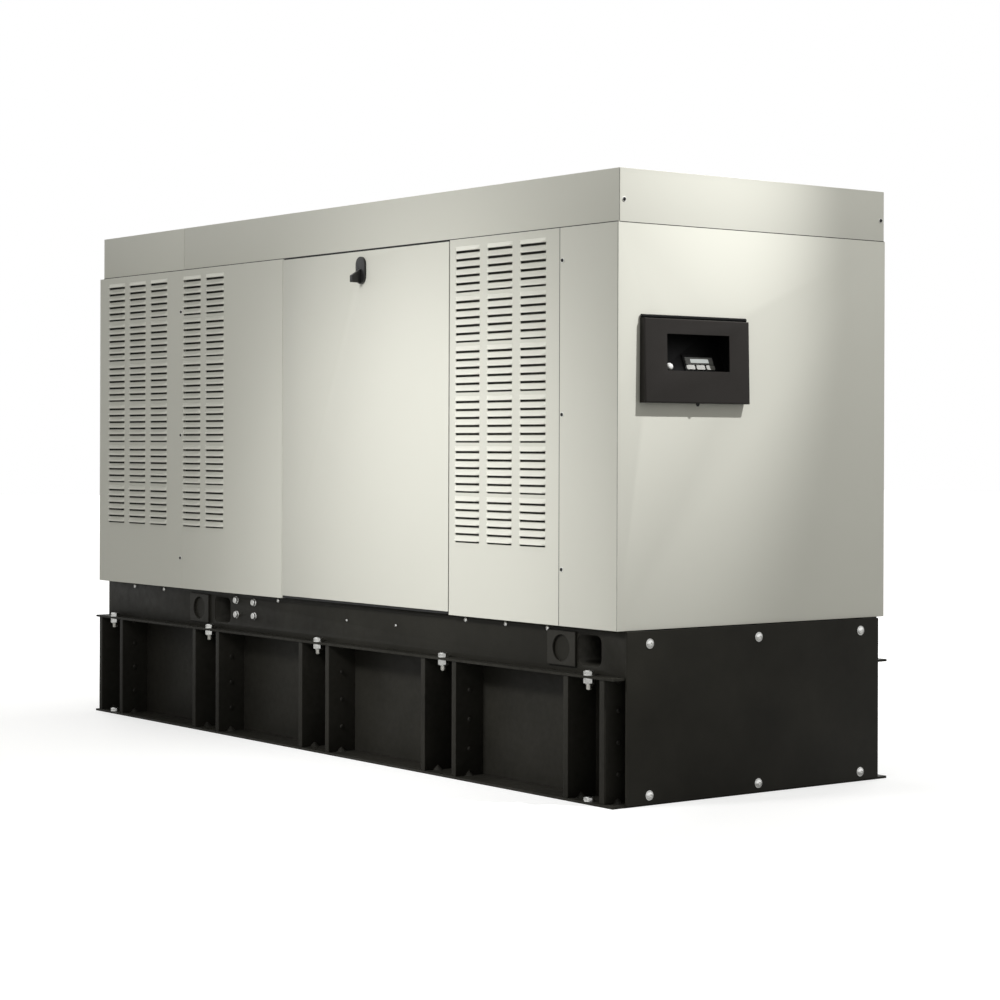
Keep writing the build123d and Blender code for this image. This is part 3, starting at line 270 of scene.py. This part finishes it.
breaker_grey = surface("breaker_moulding", (0.16, 0.165, 0.17), 0.45, mottle=(20.0, 0.08),
                       grain=(1400.0, 0.12))
battery_black = surface("battery_case", (0.014, 0.014, 0.015), 0.5, mottle=(20.0, 0.15), grain=(800.0, 0.25))
cap_black = surface("cap_moulding", (0.02, 0.02, 0.02), 0.48, mottle=(20.0, 0.15), grain=(1500.0, 0.2))

NODE_LOOKS = {
    "control_end_panel": paint, "radiator_end_panel": paint,
    "control_side_front": paint, "control_side_rear": paint,
    "front_door": paint, "rear_door": paint, "door_frame_front": paint, "door_frame_rear": paint,
    "roof_main": paint, "roof_end": paint,
    "tank_bottom_plate": base_black, "tank_walls": base_black, "tank_top_plate": base_black,
    "gussets_front": base_black, "gussets_rear": base_black, "stub_up_cover": base_black,
    "skid_rail_front": base_black, "skid_rail_rear": base_black,
    "engine_crossmember": base_black, "generator_crossmember": base_black,
    "control_cover": cover_black, "control_box": panel_black,
    "front_latch_body": latch_black, "front_latch_wing": latch_black,
    "rear_latch_body": latch_black, "rear_latch_wing": latch_black,
    "key_left": key_light, "key_middle": key_light, "key_right": key_light, "status_lamp": lamp_white,
    "engine_block": engine_iron, "cylinder_head": engine_iron, "flywheel_housing": engine_iron,
    "exhaust_manifold": exhaust_iron, "valve_cover": engine_paint, "oil_pan": engine_paint,
    "intake_manifold": alloy, "charge_alternator": alloy, "muffler": exhaust_steel,
    "crank_pulley": steel, "charge_pulley": steel, "fan": fan_black, "fan_shroud": fan_black,
    "drive_belt": belt_rubber, "vibration_isolators": rubber,
    "radiator": radiator_core, "radiator_cap": steel,
    "generator_housing": generator_grey, "generator_rotor": laminations, "air_cleaner": fan_black,
    "battery": battery_black, "fuel_cap": cap_black,
    "main_breaker": breaker_grey, "breaker_handle": latch_black,
}
usual_rounding = 0.8 * mm
EDGE_ROUNDING = {
    "stub_up_cover": 1.0 * mm, "skid_rail_front": 2.0 * mm, "skid_rail_rear": 2.0 * mm, "roof_main": 1.2 * mm,
    "roof_end": 1.2 * mm, "control_cover": 1.0 * mm, "engine_block": 3.0 * mm, "cylinder_head": 2.0 * mm,
    "battery": 2.0 * mm, "main_breaker": 2.0 * mm, "generator_housing": 2.0 * mm, "muffler": 0.0,
    "radiator": 1.5 * mm,
    "front_latch_body": 1.2 * mm, "rear_latch_body": 1.2 * mm, "front_latch_wing": 1.5 * mm,
    "rear_latch_wing": 1.5 * mm, "key_left": 0.5 * mm, "key_middle": 0.5 * mm, "key_right": 0.5 * mm,
}


def round_edges(thing, width):
    """Weld, merge flat faces and bevel the sharp edges, as modifiers."""
    weld = thing.modifiers.new("weld", "WELD")
    weld.merge_threshold = 0.01 * mm
    flat = thing.modifiers.new("flat", "DECIMATE")
    flat.decimate_type = "DISSOLVE"
    flat.angle_limit = math.radians(1.0)
    bevel = thing.modifiers.new("bevel", "BEVEL")
    bevel.width = width
    bevel.segments = 3
    bevel.limit_method = "ANGLE"
    bevel.angle_limit = math.radians(32)
    bevel.harden_normals = True
    for polygon in thing.data.polygons:
        polygon.use_smooth = True


for node, look in NODE_LOOKS.items():
    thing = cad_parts[node]
    thing.data.materials.clear()
    thing.data.materials.append(look)
    rounding = EDGE_ROUNDING.get(node, usual_rounding)
    if rounding:
        round_edges(thing, rounding)


# ---------------------------------------------------------------- mesh helpers
def add_piece(name, bm, body, look, smooth=35):
    """Turn a bmesh into a piece that rides on a body."""
    mesh = bpy.data.meshes.new(name)
    bm.to_mesh(mesh)
    bm.free()
    mesh.materials.append(look)
    for polygon in mesh.polygons:
        polygon.use_smooth = smooth > 0
    if smooth > 0:
        mesh.set_sharp_from_angle(angle=math.radians(smooth))
    thing = bpy.data.objects.new(name, mesh)
    bpy.context.collection.objects.link(thing)
    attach(thing, body)
    return thing


def frame_at(place, outward, turn=0.0):
    """A matrix whose +Z points outward at a place."""
    spin = Vector(outward).to_track_quat("Z", "Y").to_matrix().to_4x4()
    return Matrix.Translation(place) @ spin @ Matrix.Rotation(turn, 4, "Z")


def lathe(bm, profile, segments, matrix):
    """Revolve (radius, height) pairs about +Z."""
    rings = []
    for radius, height in profile:
        ring = []
        for n in range(segments):
            angle = 2 * math.pi * n / segments
            point = Vector((radius * math.cos(angle), radius * math.sin(angle), height))
            ring.append(bm.verts.new(matrix @ point))
        rings.append(ring)
    for low, high in zip(rings, rings[1:]):
        for n in range(segments):
            bm.faces.new((low[n], low[(n + 1) % segments], high[(n + 1) % segments], high[n]))
    bm.faces.new(list(reversed(rings[0])))
    bm.faces.new(rings[-1])


def hex_head(bm, matrix, across, height):
    """A hex head or nut with a chamfered top."""
    flat = across / 2
    corner = flat / math.cos(math.pi / 6)
    lathe(bm, ((corner, 0), (corner, height * 0.8)), 6, matrix @ Matrix.Rotation(math.pi / 6, 4, "Z"))
    lathe(bm, ((flat * 1.12, height * 0.8), (flat * 0.92, height)), 24, matrix)


def washer(bm, matrix, radius, thickness):
    """A flat washer with broken edges."""
    lathe(bm, ((radius, 0), (radius, thickness * 0.7), (radius - thickness * 0.3, thickness)), 28, matrix)


def button_head(bm, matrix, radius, height):
    """A domed head with a recessed hex socket."""
    dome = [(radius * math.cos(t), height * math.sin(t)) for t in (0, 0.25, 0.5, 0.8, 1.1)]
    socket = [(radius * 0.36, height * 0.97), (radius * 0.34, height * 0.35)]
    lathe(bm, [(radius, -0.5 * mm), *dome, *socket], 28, matrix)


def solid_of(bm, corners):
    """A closed six-sided solid on four inner and four outer corners, each four in order round their face."""
    points = [bm.verts.new(corner) for corner in corners]
    for face in ((3, 2, 1, 0), (4, 5, 6, 7), (0, 1, 5, 4), (1, 2, 6, 5), (2, 3, 7, 6), (3, 0, 4, 7)):
        bm.faces.new([points[n] for n in face])
    bmesh.ops.recalc_face_normals(bm, faces=bm.faces)


def thicken(thing, name, thickness, offset):
    """Give a sheet its thickness."""
    modifier = thing.modifiers.new(name, "SOLIDIFY")
    modifier.thickness = thickness
    modifier.offset = offset


def block(bm, low, high):
    """An axis-aligned block between two corners."""
    spans = [sorted(pair) for pair in zip(low, high)]
    corners = [bm.verts.new((x, y, z)) for x in spans[0] for y in spans[1] for z in spans[2]]
    for face in ((0, 1, 3, 2), (4, 6, 7, 5), (0, 4, 5, 1), (2, 3, 7, 6), (0, 2, 6, 4), (1, 5, 7, 3)):
        bm.faces.new([corners[n] for n in face])


def tidy_edges(thing, width):
    """Bevel a made piece's sharp edges."""
    bevel = thing.modifiers.new("bevel", "BEVEL")
    bevel.width = width
    bevel.segments = 3
    bevel.limit_method = "ANGLE"
    bevel.angle_limit = math.radians(40)
    bevel.harden_normals = True
    return thing


# ---------------------------------------------------------------- louvred panels
def ease(t):
    """A smooth step from 0 to 1."""
    t = max(0.0, min(1.0, t))
    return t * t * (3 - 2 * t)


def hood(bm, middle, lip, side):
    """One pressed hood: it swells from the sheet down to an open lip, with rounded ends."""
    across, down = 18, 6
    grid = []
    for j in range(down + 1):
        fall = j / down
        row = []
        for i in range(across + 1):
            u = math.sin((i / across - 0.5) * math.pi)
            swell = ease((1 - abs(u)) * hood_half / hood_end)
            reach = hood_proud * ease(fall) * swell
            z = lip + hood_height * (1 - fall)
            row.append(bm.verts.new((middle + u * hood_half, side * (face_y + reach), z)))
        grid.append(row)
    for upper, lower in zip(grid, grid[1:]):
        for i in range(across):
            face = [upper[i], lower[i], lower[i + 1], upper[i + 1]]
            bm.faces.new(face if side < 0 else list(reversed(face)))


def louvre_panel(node, column_middles, side):
    """A folded side panel: sheet with a hood and an open slot at each louvre."""
    low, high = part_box(node)
    lips = [
        wall_top - first_row_drop - group * group_pitch - row * row_pitch
        for group in range(group_count)
        for row in range(rows_in_group)
    ]
    drops = [last_slot_drop if (n + 1) % rows_in_group == 0 else slot_drop for n in range(len(lips))]
    xs = sorted([low.x, high.x, *[m + s * slot_half for m in column_middles for s in (-1, 1)]])
    levels = {round(low.z, 6), round(high.z, 6)}
    gaps = []
    for lip, drop in zip(lips, drops):
        gaps.append((round(lip - drop, 6), round(lip + hood_height, 6)))
        levels.update(gaps[-1])
    zs = sorted(levels)
    bm = bmesh.new()
    skin = [[bm.verts.new((x, side * face_y, z)) for x in xs] for z in zs]

    def quad(a, b, c, d):
        bm.faces.new((a, b, c, d) if side < 0 else (d, c, b, a))

    for j, (z_low, z_high) in enumerate(zip(zs, zs[1:])):
        in_gap = any(start <= z_low and z_high <= stop for start, stop in gaps)
        for i in range(len(xs) - 1):
            if in_gap and i % 2 == 1:
                continue
            quad(skin[j][i], skin[j][i + 1], skin[j + 1][i + 1], skin[j + 1][i])
    # Folds at the ends, shelves at the foot and the head
    for i, flip in ((0, 1), (-1, -1)):
        inner = [bm.verts.new((row[i].co.x, side * (face_y - fold_depth), row[i].co.z)) for row in skin]
        for j in range(len(zs) - 1):
            corners = (inner[j], skin[j][i], skin[j + 1][i], inner[j + 1])
            quad(*(corners if flip > 0 else reversed(corners)))
    for row, flip in ((skin[0], -1), (skin[-1], 1)):
        inner = [bm.verts.new((v.co.x, side * (face_y - shelf_depth), v.co.z)) for v in row]
        for i in range(len(xs) - 1):
            corners = (row[i], row[i + 1], inner[i + 1], inner[i])
            quad(*(corners if flip > 0 else reversed(corners)))
    panel = add_piece(f"{node}_skin", bm, "enclosure", paint, smooth=0)
    tidy_edges(panel, 0.7 * mm)
    thicken(panel, "sheet", sheet, -1)
    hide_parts(node)

    bm = bmesh.new()
    for middle in column_middles:
        for lip in lips:
            hood(bm, middle, lip, side)
    # The hoods wear the lighter paint, a painted highlight
    hoods = add_piece(f"{node}_hoods", bm, "enclosure", hood_highlight_paint, smooth=60)
    thicken(hoods, "sheet", hood_sheet, -1)

    # Sound-absorbing foam behind the slots keeps the inside dark: its dark colour is painted shade for the
    # enclosure's inside
    bm = bmesh.new()
    block(bm, (low.x + 1.7 * mm, side * (face_y - foam_front), low.z + 6 * mm),
          (high.x - 1.7 * mm, side * (face_y - foam_back), high.z - 8 * mm))
    tidy_edges(add_piece(f"{node}_foam", bm, "enclosure", shade_foam), 3 * mm)


right_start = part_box("louvre_panel_front_right")[0].x - panel_joint + 79 * mm
left_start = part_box("louvre_panel_front_left")[0].x - panel_joint + 56 * mm
end_start = radiator_end + 113 * mm
for word, side in SIDES:
    louvre_panel(f"louvre_panel_{word}_right", [right_start + n * column_pitch for n in range(3)], side)
    louvre_panel(f"louvre_panel_{word}_left", [left_start + n * column_pitch for n in range(2)], side)
    louvre_panel(f"radiator_side_{word}", [end_start + n * column_pitch for n in range(3)], side)

# ---------------------------------------------------------------- fasteners on the base
bm_zinc = bmesh.new()
bm_thread = bmesh.new()
tie_y = flange_y - 14 * mm
for left, right in gusset_pairs:
    for side in (-1, 1):
        spot = Vector(((left + right) / 2, side * tie_y, flange_top))
        up = frame_at(spot, (0, 0, 1), 0.3)
        down = frame_at(spot - Vector((0, 0, plate)), (0, 0, -1), 0.7)
        washer(bm_zinc, up, 14 * mm, 2 * mm)
        hex_head(bm_zinc, up @ Matrix.Translation((0, 0, 2 * mm)), 24 * mm, 10 * mm)
        washer(bm_zinc, down, 14 * mm, 2 * mm)
        hex_head(bm_zinc, down @ Matrix.Translation((0, 0, 2 * mm)), 24 * mm, 13 * mm)
        lathe(bm_thread, ((7.4 * mm, -8 * mm), (7.4 * mm, 26 * mm), (6 * mm, 28 * mm)), 20, down)
add_piece("tie_down_bolt_heads", bm_zinc, "enclosure", zinc)
add_piece("tie_down_bolt_threads", bm_thread, "enclosure", thread_steel)

cover_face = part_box("stub_up_cover")[1].x
bm = bmesh.new()
for y in cover_bolt_columns:
    for z in cover_bolt_rows:
        out = frame_at((cover_face, y, z), (1, 0, 0), y)
        washer(bm, out, 12 * mm, 1.2 * mm)
        button_head(bm, out @ Matrix.Translation((0, 0, 1.2 * mm)), 9.5 * mm, 5 * mm)
add_piece("stub_up_cover_bolts", bm, "enclosure", zinc)

# The anchor bolts of the outer pairs stand on the bottom flange
bm = bmesh.new()
for left, right in (gusset_pairs[0], gusset_pairs[-1]):
    for side in (-1, 1):
        up = frame_at((((left + right) / 2), side * tie_y, plate), (0, 0, 1), 0.5)
        washer(bm, up, 13 * mm, 2 * mm)
        hex_head(bm, up @ Matrix.Translation((0, 0, 2 * mm)), 22 * mm, 9 * mm)
add_piece("anchor_bolt_heads", bm, "enclosure", zinc)

# Weld mounds at the foot and head of each gusset, plug welds down the outer sides
weld_mound = ((15 * mm, -0.5 * mm), (13 * mm, 1.5 * mm), (4 * mm, 10 * mm), (1.5 * mm, 12 * mm))
plug_weld = ((6 * mm, -0.2 * mm), (5 * mm, 1.6 * mm), (2.5 * mm, 2.2 * mm))
plug_weld_rows = (75 * mm, 150 * mm, 225 * mm)
bm = bmesh.new()
for pair in gusset_pairs:
    for n, x in enumerate(pair):
        outer = 1 if n else -1
        for side in (-1, 1):
            y = side * (tank_y + gusset_depth * 0.52)
            for z, up in ((plate, 1), (flange_top - plate, -1)):
                lathe(bm, weld_mound, 16, frame_at((x, y, z), (0, 0, up)))
            for z in plug_weld_rows:
                lathe(bm, plug_weld, 16, frame_at((x + outer * gusset_plate / 2, y, z), (outer, 0, 0)))
add_piece("gusset_welds", bm, "enclosure", weld_black, smooth=50)

# ---------------------------------------------------------------- fasteners and sleeves on the rails
bm = bmesh.new()
for x, z in rail_bolt_places:
    for side in (-1, 1):
        out = frame_at((x * mm, side * rail_y, z * mm), (0, side, 0), x)
        washer(bm, out, 11 * mm, 1.6 * mm)
        hex_head(bm, out @ Matrix.Translation((0, 0, 1.6 * mm)), 17 * mm, 7 * mm)
for x, z in (*rail_hole_places, *((x, rail_rivet_row) for x in rail_rivet_columns)):
    for side in (-1, 1):
        small = 6.5 * mm if z == rail_rivet_row else 4.5 * mm
        button_head(bm, frame_at((x * mm, side * rail_y, z * mm), (0, side, 0), x), small, 4 * mm)
add_piece("rail_bolts", bm, "enclosure", zinc)

loop_count = 32


def rounded_loop(low, high, bend):
    """Points round a rectangle with rounded corners, in (x, z)."""
    middle_x, middle_z = (low[0] + high[0]) / 2, (low[1] + high[1]) / 2
    half_x, half_z = (high[0] - low[0]) / 2 - bend, (high[1] - low[1]) / 2 - bend
    points = []
    for n in range(loop_count):
        quarter, part = divmod(n, loop_count // 4)
        angle = (quarter + part / (loop_count // 4 - 1)) * math.pi / 2
        ahead, above = (1, -1, -1, 1)[quarter], (1, 1, -1, -1)[quarter]
        points.append((middle_x + ahead * half_x + bend * math.cos(angle),
                       middle_z + above * half_z + bend * math.sin(angle)))
    return points


bm = bmesh.new()
for left in rigging_starts:
    loop = rounded_loop((left, rigging_foot), (left + rigging_length, rigging_head), 20 * mm)
    for side in (-1, 1):
        rings = [[bm.verts.new((x, side * y, z)) for x, z in loop]
                 for y in (rail_y - 2 * mm, rail_y - 150 * mm)]
        for n in range(loop_count):
            following = (n + 1) % loop_count
            bm.faces.new((rings[0][n], rings[1][n], rings[1][following], rings[0][following]))
sleeves = add_piece("rigging_sleeves", bm, "enclosure", base_black, smooth=50)
thicken(sleeves, "wall", 4 * mm, 0)

# A face in slightly lighter enamel round each blind hole of the lifting pads
pad_rays = 48
bm = bmesh.new()
for middle in pad_middles:
    for side in (-1, 1):
        rim = []
        for n in range(pad_rays):
            ahead, above = math.cos(2 * n * math.pi / pad_rays), math.sin(2 * n * math.pi / pad_rays)
            reach = min(pad_half_width / max(abs(ahead), 1e-6), pad_half_height / max(abs(above), 1e-6))
            rim.append([bm.verts.new((middle + size * ahead, side * (rail_y + plate + 0.3 * mm),
                                      pad_level + size * above)) for size in (pad_hole, reach)])
        for n in range(pad_rays):
            following = rim[(n + 1) % pad_rays]
            corners = (rim[n][1], following[1], following[0], rim[n][0])
            bm.faces.new(corners if side > 0 else tuple(reversed(corners)))
bmesh.ops.recalc_face_normals(bm, faces=bm.faces)
add_piece("lifting_pad_faces", bm, "enclosure", pad_black, smooth=0)

bm = bmesh.new()
block(bm, (radiator_end + 17 * mm, -(rail_y - 7 * mm), flange_top + 1 * mm),
      (radiator_end + 23 * mm, rail_y - 7 * mm, wall_foot - 1 * mm))
tidy_edges(add_piece("end_crossmember", bm, "enclosure", base_black), 1 * mm)

# ---------------------------------------------------------------- seams, screws and hinge of the enclosure
# Strips in the upright seams: place along X, width and depth behind the face, in millimetres
dark_seams = ((1054.5, 1.9, 0.2), (601.4, 3.2, 2.0), (1272.3, 1.0, -0.1))
painted_seams = ((-768.5, 1.5, 0.4), (-201.4, 3.2, 1.2))
bm = bmesh.new()
filler = bmesh.new()
door_low, door_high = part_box("front_door")
for side in (-1, 1):
    # Dark strips paint the shade in the seams that show, paint-coloured fillers close the ones that hardly do
    for build, seams in ((bm, dark_seams), (filler, painted_seams)):
        for x, width, deep in seams:
            block(build, (x * mm - width * mm / 2, side * (face_y - deep * mm), wall_foot + 1 * mm),
                  (x * mm + width * mm / 2, side * (face_y - deep * mm - 6 * mm), wall_top - 0.5 * mm))
    # Dark strips above and below the door paint the shade in its gaps
    block(bm, (door_low.x, side * (face_y - 4 * mm), door_high.z - 0.3 * mm),
          (door_high.x, side * (face_y - 18 * mm), wall_top + 0.5 * mm))
    block(bm, (door_low.x, side * (face_y - 2 * mm), door_low.z - 6.4 * mm),
          (door_high.x, side * (face_y - 8 * mm), door_low.z - 0.4 * mm))
    # Dark strips paint the shade in the joint between the walls and the roof, and at the roof's corner
    block(bm, (radiator_end + 19 * mm, side * (face_y - 3.6 * mm), wall_top - 0.3 * mm),
          (control_end - 6 * mm, side * (face_y - 12 * mm), wall_top + 2.4 * mm))
    block(bm, (control_end - 2.4 * mm, side * (face_y - 3.9 * mm), wall_top + 2 * mm),
          (control_end - 1.5 * mm, side * (face_y - 8 * mm), roof_top - 3 * mm))
# A dark strip paints the shade in the joint under the roof's end
block(bm, (control_end + 0.15 * mm, -(face_y - 4 * mm), wall_top - 0.7 * mm),
      (control_end - 6 * mm, face_y - 4 * mm, wall_top + 1 * mm))
add_piece("seam_shade_strips", bm, "enclosure", painted_seam_shade)
add_piece("seam_fillers", filler, "enclosure", paint)

bm_rim = bmesh.new()
bm_head = bmesh.new()
screws = [((x * mm, side * face_y, z * mm), (0, side, 0)) for side in (-1, 1)
          for x, heights in wall_screw_columns for z in heights]
screws += [((control_end, side * roof_screw_y, roof_screw_z), (1, 0, 0)) for side in (-1, 1)]
for place, outward in screws:
    out = frame_at(place, outward, place[2])
    washer(bm_rim, out, 6.2 * mm, 1.2 * mm)
    button_head(bm_head, out @ Matrix.Translation((0, 0, 1.2 * mm)), 4.6 * mm, 3 * mm)
# The washers' near-white colour is a painted highlight
add_piece("wall_screw_washers", bm_rim, "enclosure", washer_highlight_paint)
add_piece("wall_screw_heads", bm_head, "enclosure", dark_bolt)

bm = bmesh.new()
lid_low, lid_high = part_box("control_cover")
out = frame_at((hinge_place[0], lid_low.y, hinge_place[1]), (0, 1, 0))
length = lid_high.y - lid_low.y
lathe(bm, ((3.9 * mm, 0), (4.4 * mm, 0.6 * mm), (4.4 * mm, length - 0.6 * mm), (3.9 * mm, length)), 24, out)
add_piece("cover_hinge_sleeve", bm, "enclosure", panel_black)

bm = bmesh.new()
middle_y = (lid_low.y + lid_high.y) / 2
foot = lid_low.z
solid_of(bm, [(x, middle_y + y, foot + z) for x in (1291 * mm, 1294.5 * mm)
              for y, z in ((-6 * mm, 1 * mm), (6 * mm, 1 * mm), (2.5 * mm, -7 * mm), (-2.5 * mm, -7 * mm))])
tidy_edges(add_piece("cover_pull_tab", bm, "control_cover", panel_black), 0.6 * mm)

# ---------------------------------------------------------------- the display and the lamp's lens
# The key panel leans back 22 degrees: a step out from its face, and a step up along it
slope = Vector((0.92718, 0.0, 0.37461))
along = Vector((-0.37461, 0.0, 0.92718))
key_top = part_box("key_middle")
row_middle = Vector((key_top[1].x - 3 * mm, -161 * mm, (key_top[0].z + key_top[1].z) / 2))
bm = bmesh.new()
lens = bmesh.new()
for build, half_y, low, high, proud in (
    (bm, 44 * mm, 8.5 * mm, 27 * mm, 1.2 * mm), (lens, 29 * mm, 12 * mm, 22 * mm, 1.8 * mm),
):
    solid_of(build, [row_middle + slope * out + along * up + Vector((0, y, 0)) for out in (-2.5 * mm, proud)
                     for y, up in ((-half_y, low), (half_y, low), (half_y, high), (-half_y, high))])
tidy_edges(add_piece("display_frame", bm, "enclosure", display_grey), 0.8 * mm)
# The screen's glow is painted light
tidy_edges(add_piece("display_glass", lens, "enclosure", screen_painted_glow), 0.6 * mm)

lamp_low, lamp_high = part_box("status_lamp")
bm = bmesh.new()
lamp_place = (lamp_high.x - 2 * mm, (lamp_low.y + lamp_high.y) / 2, (lamp_low.z + lamp_high.z) / 2)
lathe(bm, ((9 * mm, -1 * mm), (9 * mm, 8 * mm), (7.5 * mm, 11 * mm), (4 * mm, 13 * mm)), 28,
      frame_at(lamp_place, (1, 0, 0)))
add_piece("status_lamp_lens", bm, "enclosure", lamp_white)


# ---------------------------------------------------------------- stage, camera and light
floor_grey = 0.5
floor_glow, far_glow = 0.6, 1.1
glow_start, glow_stop = 2.0, 5.0
floor_gloss = 0.12
world_light = 0.4
world_tint = (1, 0.995, 0.93, 1)


def white_stage():
    """A pale floor and a world that show as white, where the floor keeps the object's shadow."""
    floor_material = bpy.data.materials.new("stage_floor")
    floor_material.use_nodes = True
    nodes, links = floor_material.node_tree.nodes, floor_material.node_tree.links
    shader = nodes["Principled BSDF"]
    shader.inputs["Base Color"].default_value = (*[floor_grey] * 3, 1)
    shader.inputs["Roughness"].default_value = 0.9
    shader.inputs["Specular IOR Level"].default_value = 0.1
    glow = nodes.new("ShaderNodeEmission")
    rays = nodes.new("ShaderNodeLightPath")
    seen = nodes.new("ShaderNodeMath")
    seen.operation = "MAXIMUM"
    gloss = nodes.new("ShaderNodeMath")
    gloss.operation = "MULTIPLY"
    gloss.inputs[1].default_value = floor_gloss
    links.new(rays.outputs["Is Glossy Ray"], gloss.inputs[0])
    links.new(rays.outputs["Is Camera Ray"], seen.inputs[0])
    links.new(gloss.outputs["Value"], seen.inputs[1])
    # The glow grows with distance, so that the floor meets the white world without a line
    place = nodes.new("ShaderNodeTexCoord")
    distance = nodes.new("ShaderNodeVectorMath")
    distance.operation = "LENGTH"
    links.new(place.outputs["Object"], distance.inputs[0])
    level = nodes.new("ShaderNodeMapRange")
    level.inputs["From Min"].default_value = glow_start
    level.inputs["From Max"].default_value = glow_stop
    level.inputs["To Min"].default_value = floor_glow
    level.inputs["To Max"].default_value = far_glow
    links.new(distance.outputs["Value"], level.inputs["Value"])
    strength = nodes.new("ShaderNodeMath")
    strength.operation = "MULTIPLY"
    links.new(seen.outputs["Value"], strength.inputs[0])
    links.new(level.outputs["Result"], strength.inputs[1])
    links.new(strength.outputs["Value"], glow.inputs["Strength"])
    both = nodes.new("ShaderNodeAddShader")
    links.new(shader.outputs["BSDF"], both.inputs[0])
    links.new(glow.outputs["Emission"], both.inputs[1])
    links.new(both.outputs["Shader"], nodes["Material Output"].inputs["Surface"])

    bm = bmesh.new()
    reach = 30.0
    corners = [bm.verts.new((x * reach, y * reach, 0.0)) for x, y in ((-1, -1), (1, -1), (1, 1), (-1, 1))]
    bm.faces.new(corners)
    mesh = bpy.data.meshes.new("stage_floor")
    bm.to_mesh(mesh)
    bm.free()
    mesh.materials.append(floor_material)
    floor = bpy.data.objects.new("stage_floor", mesh)
    bpy.context.collection.objects.link(floor)

    world = bpy.data.worlds.new("studio")
    bpy.context.scene.world = world
    world.use_nodes = True
    nodes, links = world.node_tree.nodes, world.node_tree.links
    background = nodes["Background"]
    rays = nodes.new("ShaderNodeLightPath")
    share = nodes.new("ShaderNodeMath")
    share.operation = "MAXIMUM"
    metal = nodes.new("ShaderNodeMath")
    metal.operation = "MAXIMUM"
    links.new(rays.outputs["Is Glossy Ray"], metal.inputs[0])
    links.new(rays.outputs["Is Transmission Ray"], metal.inputs[1])
    links.new(rays.outputs["Is Camera Ray"], share.inputs[0])
    links.new(metal.outputs["Value"], share.inputs[1])
    strength = nodes.new("ShaderNodeMapRange")
    strength.inputs["To Min"].default_value = world_light
    strength.inputs["To Max"].default_value = 1.0
    links.new(share.outputs["Value"], strength.inputs["Value"])
    links.new(strength.outputs["Result"], background.inputs["Strength"])
    tint = nodes.new("ShaderNodeMix")
    tint.data_type = "RGBA"
    links.new(share.outputs["Value"], tint.inputs["Factor"])
    tint.inputs["A"].default_value = world_tint
    tint.inputs["B"].default_value = (1, 1, 1, 1)
    links.new(tint.outputs["Result"], background.inputs["Color"])


def hang(name, lamp, place, target, power):
    """Place a lamp aimed at a point; it lights matt shading only, and metal shows the white studio."""
    lamp.energy = power
    thing = bpy.data.objects.new(name, lamp)
    bpy.context.collection.objects.link(thing)
    thing.location = place
    thing.rotation_mode = "QUATERNION"
    thing.rotation_quaternion = (Vector(target) - Vector(place)).to_track_quat("-Z", "Y")
    thing.visible_camera = False
    thing.visible_glossy = False


def soft_lamp(name, place, target, size, power):
    """A rectangular soft box."""
    lamp = bpy.data.lights.new(name, "AREA")
    lamp.shape = "RECTANGLE"
    lamp.size, lamp.size_y = size
    hang(name, lamp, place, target, power)


def soft_spot(name, place, target, cone, radius, power):
    """A spot with a wide soft edge."""
    lamp = bpy.data.lights.new(name, "SPOT")
    lamp.spot_size = math.radians(cone)
    lamp.spot_blend = 1.0
    lamp.shadow_soft_size = radius
    hang(name, lamp, place, target, power)


def roof_flag(lamp_place):
    """A studio flag near the end lamps, out of sight, that keeps their beams off the roof's top."""
    nearness = 0.8
    start, stop, half = -1.5, control_end - 0.03, 0.6
    mesh = bpy.data.meshes.new("roof_flag")
    corners = [Vector((x, y, roof_top)).lerp(Vector(lamp_place), nearness)
               for x, y in ((start, -half), (stop, -half), (stop, half), (start, half))]
    mesh.from_pydata(corners, [], [(0, 1, 2, 3)])
    flag = bpy.data.objects.new("roof_flag", mesh)
    bpy.context.collection.objects.link(flag)
    flag.visible_camera = flag.visible_diffuse = flag.visible_glossy = flag.visible_transmission = False


def photo_camera():
    """A long lens, level with the middle of the set, off its near corner."""
    camera = bpy.data.cameras.new("photo_camera")
    camera.sensor_width = 36.0
    camera.lens = 86.03
    camera.shift_y = -0.053
    camera.clip_end = 100.0
    thing = bpy.data.objects.new("photo_camera", camera)
    bpy.context.collection.objects.link(thing)
    turn = Matrix.Rotation(math.radians(52.85), 4, "Z") @ Matrix.Rotation(math.radians(89.956), 4, "X")
    level = Matrix.Rotation(math.radians(0.193), 4, "Z")
    thing.matrix_world = Matrix.Translation((5.558, -4.0354, 0.8499)) @ turn @ level
    bpy.context.scene.camera = thing


end_lamp = (3.07, 0.725, 3.68)
white_stage()
soft_lamp("long_key", (0.45, -2.4, 1.9), (0.45, -0.44, 0.6), (1.0, 1.0), 12.6)
soft_spot("long_broad", (0.5, -2.7, 1.95), (0.47, -0.44, 0.53), 50.0, 0.25, 166.0)
soft_spot("long_tight", (0.6, -2.7, 1.95), (0.52, -0.44, 0.55), 36.0, 0.2, 31.0)
soft_spot("end_key", end_lamp, (1.27, -0.42, 1.1), 25.0, 0.008, 515.0)
soft_spot("end_broad", end_lamp, (1.27, -0.2, 0.4), 52.0, 0.008, 156.0)
roof_flag(end_lamp)
soft_lamp("top_fill", (0.0, 0.0, 4.5), (0.0, 0.0, 1.5), (3.0, 2.0), 50.0)
soft_lamp("rear_fill", (-0.6, 3.4, 1.6), (0.0, 0.44, 0.9), (2.0, 1.6), 62.0)
soft_lamp("radiator_fill", (-4.0, 0.4, 1.7), (-1.3, 0.0, 0.9), (1.2, 1.2), 36.0)
photo_camera()
bpy.context.scene.view_settings.view_transform = "Standard"
